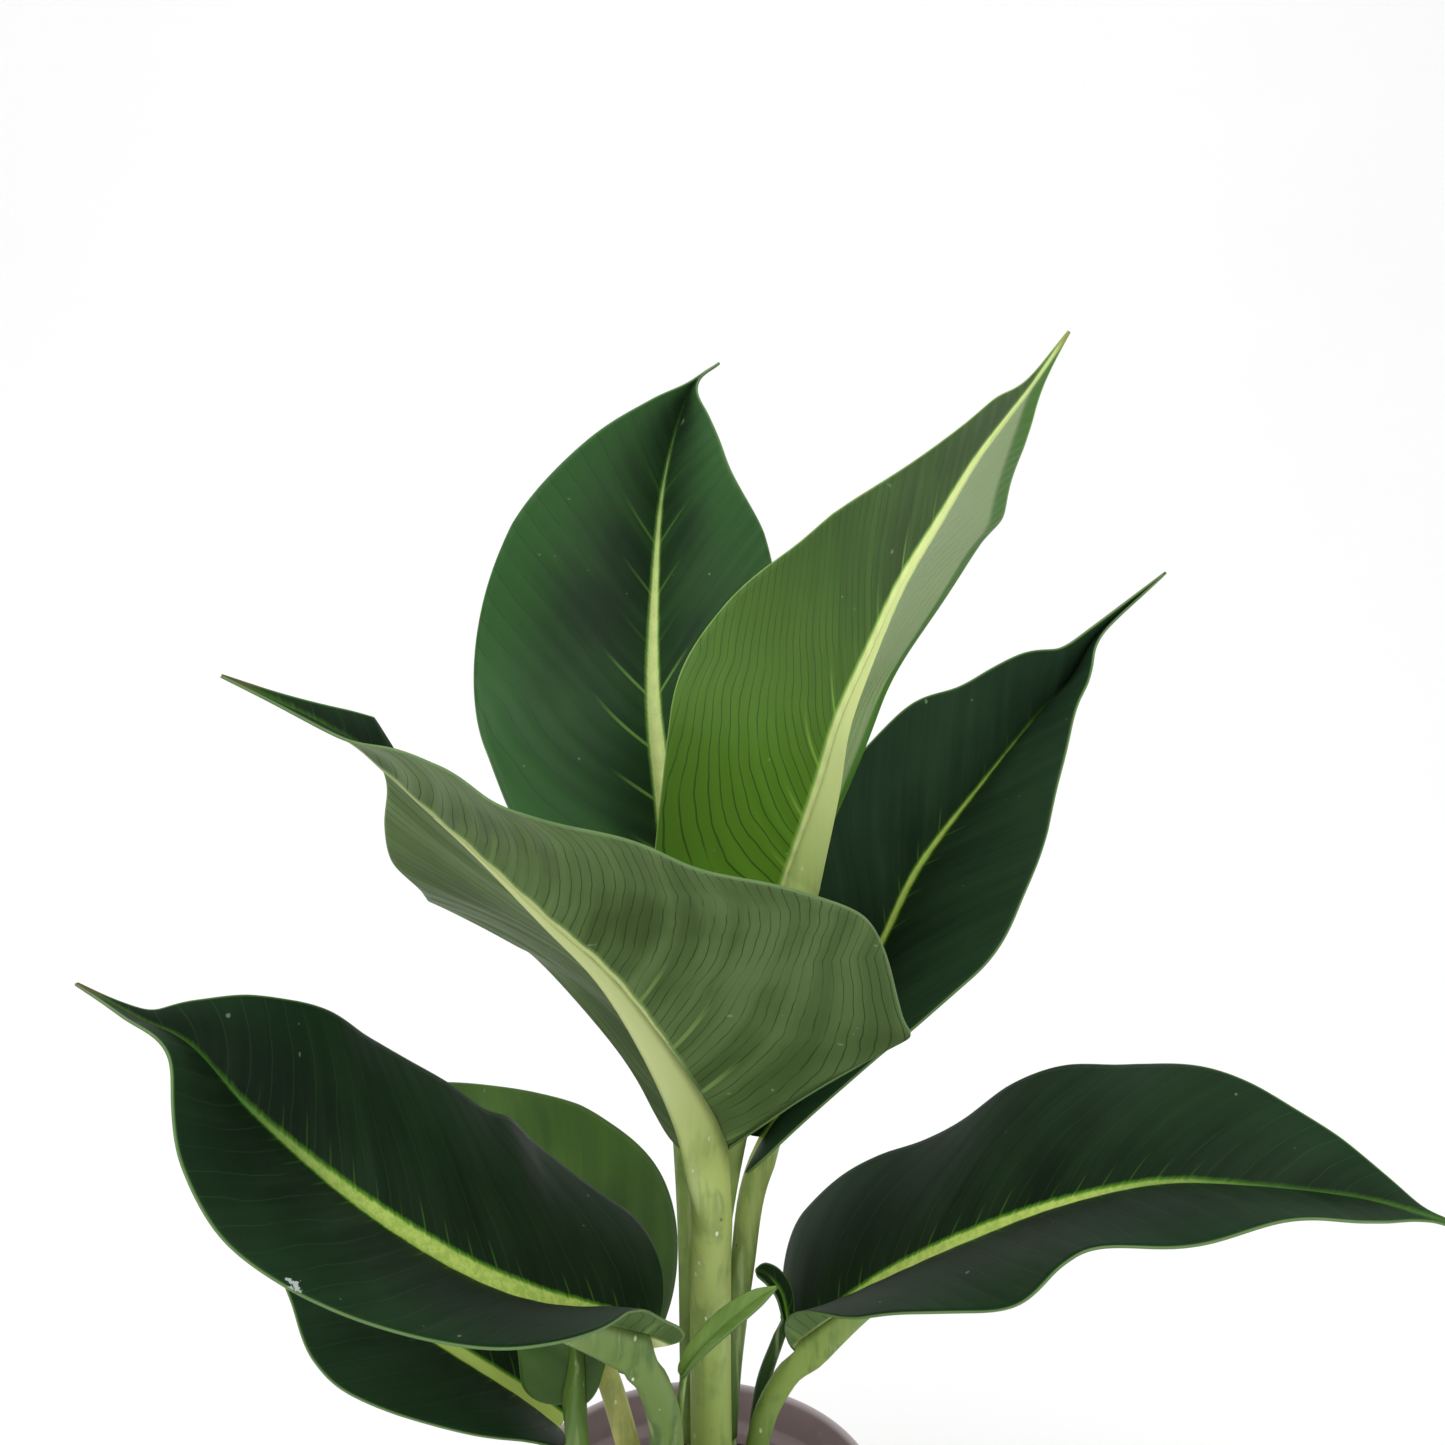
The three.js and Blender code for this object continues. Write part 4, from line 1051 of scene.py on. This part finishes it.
class PLANT_OT_leaf_stalks(bpy.types.Operator):
    """Make the leaf stalks with their raised midribs"""

    bl_idname = "plant.leaf_stalks"
    bl_label = "Leaf stalks"

    def execute(self, context):
        sides = context.scene.plant_settings.stalk_sides
        for name in STALKS:
            rings, rise = stalk_rings(name, sides)
            piece = rolled_tube(f"leaf_stalk_{name}", rings, stalk_material(name), rise)
            finish_piece(piece, f"stalk_{name}")
        return {"FINISHED"}


class PLANT_OT_main_stem(bpy.types.Operator):
    """Make the column of wrapped stalk bases"""

    bl_idname = "plant.main_stem"
    bl_label = "Main stem"

    def execute(self, context):
        sides = MAIN_STEM["sides"]
        angles = 2 * np.pi * np.arange(sides) / sides
        middle = np.array([*MAIN_STEM["middle"], 0.0])
        neck_size, top_size = (np.array(MAIN_STEM[key]) for key in ("neck_size", "top_size"))
        foot = SOIL["level"] - SOIL["hole_depth"] + GAP
        top = MAIN_STEM["top"]
        edge_height, edge_depth = MAIN_STEM["edge"]
        flutes, flute_depth, flute_turn = MAIN_STEM["flute"]
        flute = 1 - flute_depth * (1 + np.cos(flutes * angles + flute_turn)) / 2
        side_rings, edge_rings = MAIN_STEM["rings"]
        heights = [foot, foot, *np.linspace(foot + 2, top - edge_height - 1, side_rings),
                   *np.linspace(top - edge_height, top, edge_rings), top]
        rings = []
        for number, height in enumerate(heights):
            above_neck = height - SOIL["level"] - MAIN_STEM["neck_rise"]
            share = np.clip(above_neck / MAIN_STEM["widening"], 0, 1)
            half = neck_size * (1 - share) + top_size * share
            rounding = np.sqrt(max(0, 1 - max(0, 1 - (top - height) / edge_height) ** 2))
            half = half - edge_depth * (1 - rounding)
            if number in (0, len(heights) - 1):
                half = half * 0
            ring = np.stack([half[0] * np.cos(angles) * flute, half[1] * np.sin(angles) * flute,
                             np.full(sides, height)], axis=1)
            rings.append(ring + middle)
        rise = np.linspace(0, 1, len(rings))
        piece = rolled_tube("stem_column", rings, stalk_material("main_stem"), rise)
        finish_piece(piece, "main_stem")
        return {"FINISHED"}


def inner_radius(height):
    """The radius of the pot's inner wall at a height under the collar."""
    share = height / (POT["height"] - POT["collar_height"])
    grow = POT["shoulder_radius"] - POT["bottom_radius"]
    return POT["bottom_radius"] + share * grow - POT["wall"]


def round_rings(profile, sides):
    """Rings round the Z axis from a profile of radius and height."""
    angles = 2 * np.pi * np.arange(sides) / sides
    return np.array([[(r * np.cos(a), r * np.sin(a), z) for a in angles] for r, z in profile])


class PLANT_OT_pot(bpy.types.Operator):
    """Make the nursery pot"""

    bl_idname = "plant.pot"
    bl_label = "Pot"

    def execute(self, context):
        top = POT["height"]
        shoulder = top - POT["collar_height"]
        collar = POT["collar_radius"]
        inside = collar - POT["wall"]
        # Radius and height, up the outside, over the lip and down the inside.
        profile = [
            (0, 0), (20, 0), (POT["bottom_radius"] - 3, 0), (POT["bottom_radius"] - 1.5, 0),
            (POT["bottom_radius"] - 0.4, 0.4), (POT["bottom_radius"], 1.5),
            (POT["shoulder_radius"] - 0.2, shoulder - 3),
            (POT["shoulder_radius"], shoulder - 1.2), (POT["shoulder_radius"] + 0.8, shoulder - 0.7),
            (collar - 2.8, shoulder - 0.3), (collar - 2, shoulder + 0.4),
            (collar - 1.9, shoulder + 1.4), (collar - 1.05, top - 3.5), (collar - 1, top - 2.6),
            (collar - 0.4, top - 2.2), (collar, top - 1.6), (collar - 0.05, top - 0.9),
            (collar - 0.4, top - 0.25), (collar - 1, top), (inside + 0.2, top - 0.1),
            (inside - 0.4, top - 0.6), (inside - 0.7, top - 1.6), (inside - 2.2, shoulder + 3),
            (inside - 2.6, shoulder + 1.5), (inner_radius(shoulder) + 0.6, shoulder),
            (inner_radius(shoulder), shoulder - 1.2),
            (inner_radius(POT["floor"]) + 0.2, POT["floor"] + 2),
            (inner_radius(POT["floor"]) - 1, POT["floor"]), (20, POT["floor"]), (0, POT["floor"]),
        ]
        settings = context.scene.plant_settings
        rings = round_rings(profile, settings.pot_sides)
        piece = rolled_tube("nursery_pot", rings, pot_material(settings))
        finish_piece(piece, "pot")
        return {"FINISHED"}


class PLANT_OT_soil(bpy.types.Operator):
    """Make the crumbly potting soil"""

    bl_idname = "plant.soil"
    bl_label = "Soil"

    def execute(self, context):
        bottom = POT["floor"] + GAP
        edge = SOIL["level"] - SOIL["crown"]
        outer = inner_radius(edge) - GAP
        profile = [(0, bottom), (inner_radius(bottom) - GAP - 1, bottom),
                   (inner_radius(bottom) - GAP, bottom + 1), (outer, edge - 1)]
        walls = len(profile)
        for radius in np.linspace(outer - 0.3, 0.8, SOIL["rings"]):
            share = radius / outer
            profile.append((radius, edge + SOIL["crown"] * (1 - share ** 4) - SOIL["bed"]))
        profile.append((0, SOIL["level"] - SOIL["bed"]))
        rings = round_rings(profile, SOIL["sides"])
        for ring in rings[walls:-1]:
            for point in ring:
                spot = Vector(point) * SOIL["fineness"]
                lump = SOIL["lump"] * noise.fractal(spot, 1.0, 2.0, 4)
                point[2] += min(SOIL["rise"], max(-SOIL["sink"], lump))
        material = soil_material(context.scene.plant_settings)
        piece = rolled_tube("potting_soil", rings, material)
        finish_piece(piece, "soil")
        return {"FINISHED"}


class PLANT_OT_stage(bpy.types.Operator):
    """Make the pale floor, the soft light and the camera"""

    bl_idname = "plant.stage"
    bl_label = "Studio"

    def execute(self, context):
        settings = context.scene.studio_settings
        self.make_backdrop()
        self.make_lights(settings)
        self.make_camera(settings)
        return {"FINISHED"}

    def make_backdrop(self):
        """The floor, which rises behind the plant in one bend."""
        deselect_all()
        bpy.ops.mesh.primitive_plane_add(size=STUDIO["floor"], location=(0, STUDIO["middle"], 0))
        floor = bpy.context.active_object
        floor.name = "studio_floor"
        bpy.ops.object.transform_apply(location=True, rotation=True, scale=True)
        bpy.ops.object.mode_set(mode="EDIT")
        bpy.ops.mesh.select_all(action="DESELECT")
        bpy.ops.object.mode_set(mode="OBJECT")
        for edge in floor.data.edges:
            ends = [floor.data.vertices[i].co for i in edge.vertices]
            edge.select = all(end.y > 0 for end in ends)
        bpy.ops.object.mode_set(mode="EDIT")
        bpy.ops.mesh.select_mode(type="EDGE")
        bpy.ops.mesh.extrude_region_move(TRANSFORM_OT_translate={"value": (0, 0, STUDIO["wall"])})
        bpy.ops.object.mode_set(mode="OBJECT")
        bend = floor.modifiers.new("bend", "BEVEL")
        bend.width = STUDIO["bend"]
        bend.segments = 16
        bpy.ops.object.modifier_apply(modifier=bend.name)
        bpy.ops.object.shade_smooth()
        floor.data.materials.append(studio_material())

    def make_lights(self, settings):
        """Even light from all round, and two large lamps aimed at the plant."""
        world = bpy.data.worlds.new("studio")
        bpy.context.scene.world = world
        world.use_nodes = True
        sky = world.node_tree.nodes["Background"]
        sky.inputs["Color"].default_value = (1, 1, 1, 1)
        sky.inputs["Strength"].default_value = settings.sky_strength
        target = Vector((0, 0, 0.25))
        # Name, place and width in metres, power.
        lamps = [
            ("key", (-0.5, -0.5, 1.5), 1.2, settings.key_power),
            ("fill", (0.9, -0.9, 0.9), 1.0, settings.fill_power),
        ]
        for name, place, size, power in lamps:
            bpy.ops.object.light_add(type="AREA", location=place)
            lamp = bpy.context.active_object
            lamp.name = f"{name}_light"
            lamp.data.size = size
            lamp.data.energy = power
            aim = target - Vector(place)
            lamp.rotation_euler = aim.to_track_quat("-Z", "Y").to_euler()

    def make_camera(self, settings):
        """The camera, in front of the plant and a little above its middle."""
        rotation = (np.pi / 2 - settings.camera_tilt, 0, 0)
        bpy.ops.object.camera_add(location=settings.camera_place, rotation=rotation)
        camera = bpy.context.active_object
        camera.name = "photo_camera"
        camera.data.lens = settings.camera_lens
        camera.data.sensor_width = 36
        camera.data.clip_start = 0.01
        bpy.context.scene.camera = camera
        bpy.context.scene.view_settings.view_transform = "Standard"


class PLANT_PT_panel(bpy.types.Panel):
    """The steps that build the plant"""

    bl_label = "Potted plant"
    bl_space_type = "VIEW_3D"
    bl_region_type = "UI"
    bl_category = "Plant"

    def draw(self, context):
        for operator in OPERATORS:
            self.layout.operator(operator.bl_idname)
        for group in (context.scene.plant_settings, context.scene.studio_settings):
            for name in group.bl_rna.properties.keys():
                if name not in ("rna_type", "name"):
                    self.layout.prop(group, name)


OPERATORS = (
    PLANT_OT_stage,
    PLANT_OT_pot,
    PLANT_OT_soil,
    PLANT_OT_main_stem,
    PLANT_OT_leaf_stalks,
    PLANT_OT_leaf_blades,
)
CLASSES = (PlantSettings, StudioSettings, *OPERATORS, PLANT_PT_panel)


def register():
    for cls in CLASSES:
        bpy.utils.register_class(cls)
    bpy.types.Scene.plant_settings = bpy.props.PointerProperty(type=PlantSettings)
    bpy.types.Scene.studio_settings = bpy.props.PointerProperty(type=StudioSettings)


def unregister():
    del bpy.types.Scene.studio_settings
    del bpy.types.Scene.plant_settings
    for cls in reversed(CLASSES):
        bpy.utils.unregister_class(cls)


def main():
    register()
    bpy.ops.plant.stage()
    bpy.ops.plant.pot()
    bpy.ops.plant.soil()
    bpy.ops.plant.main_stem()
    bpy.ops.plant.leaf_stalks()
    bpy.ops.plant.leaf_blades()


if __name__ == "__main__":
    main()
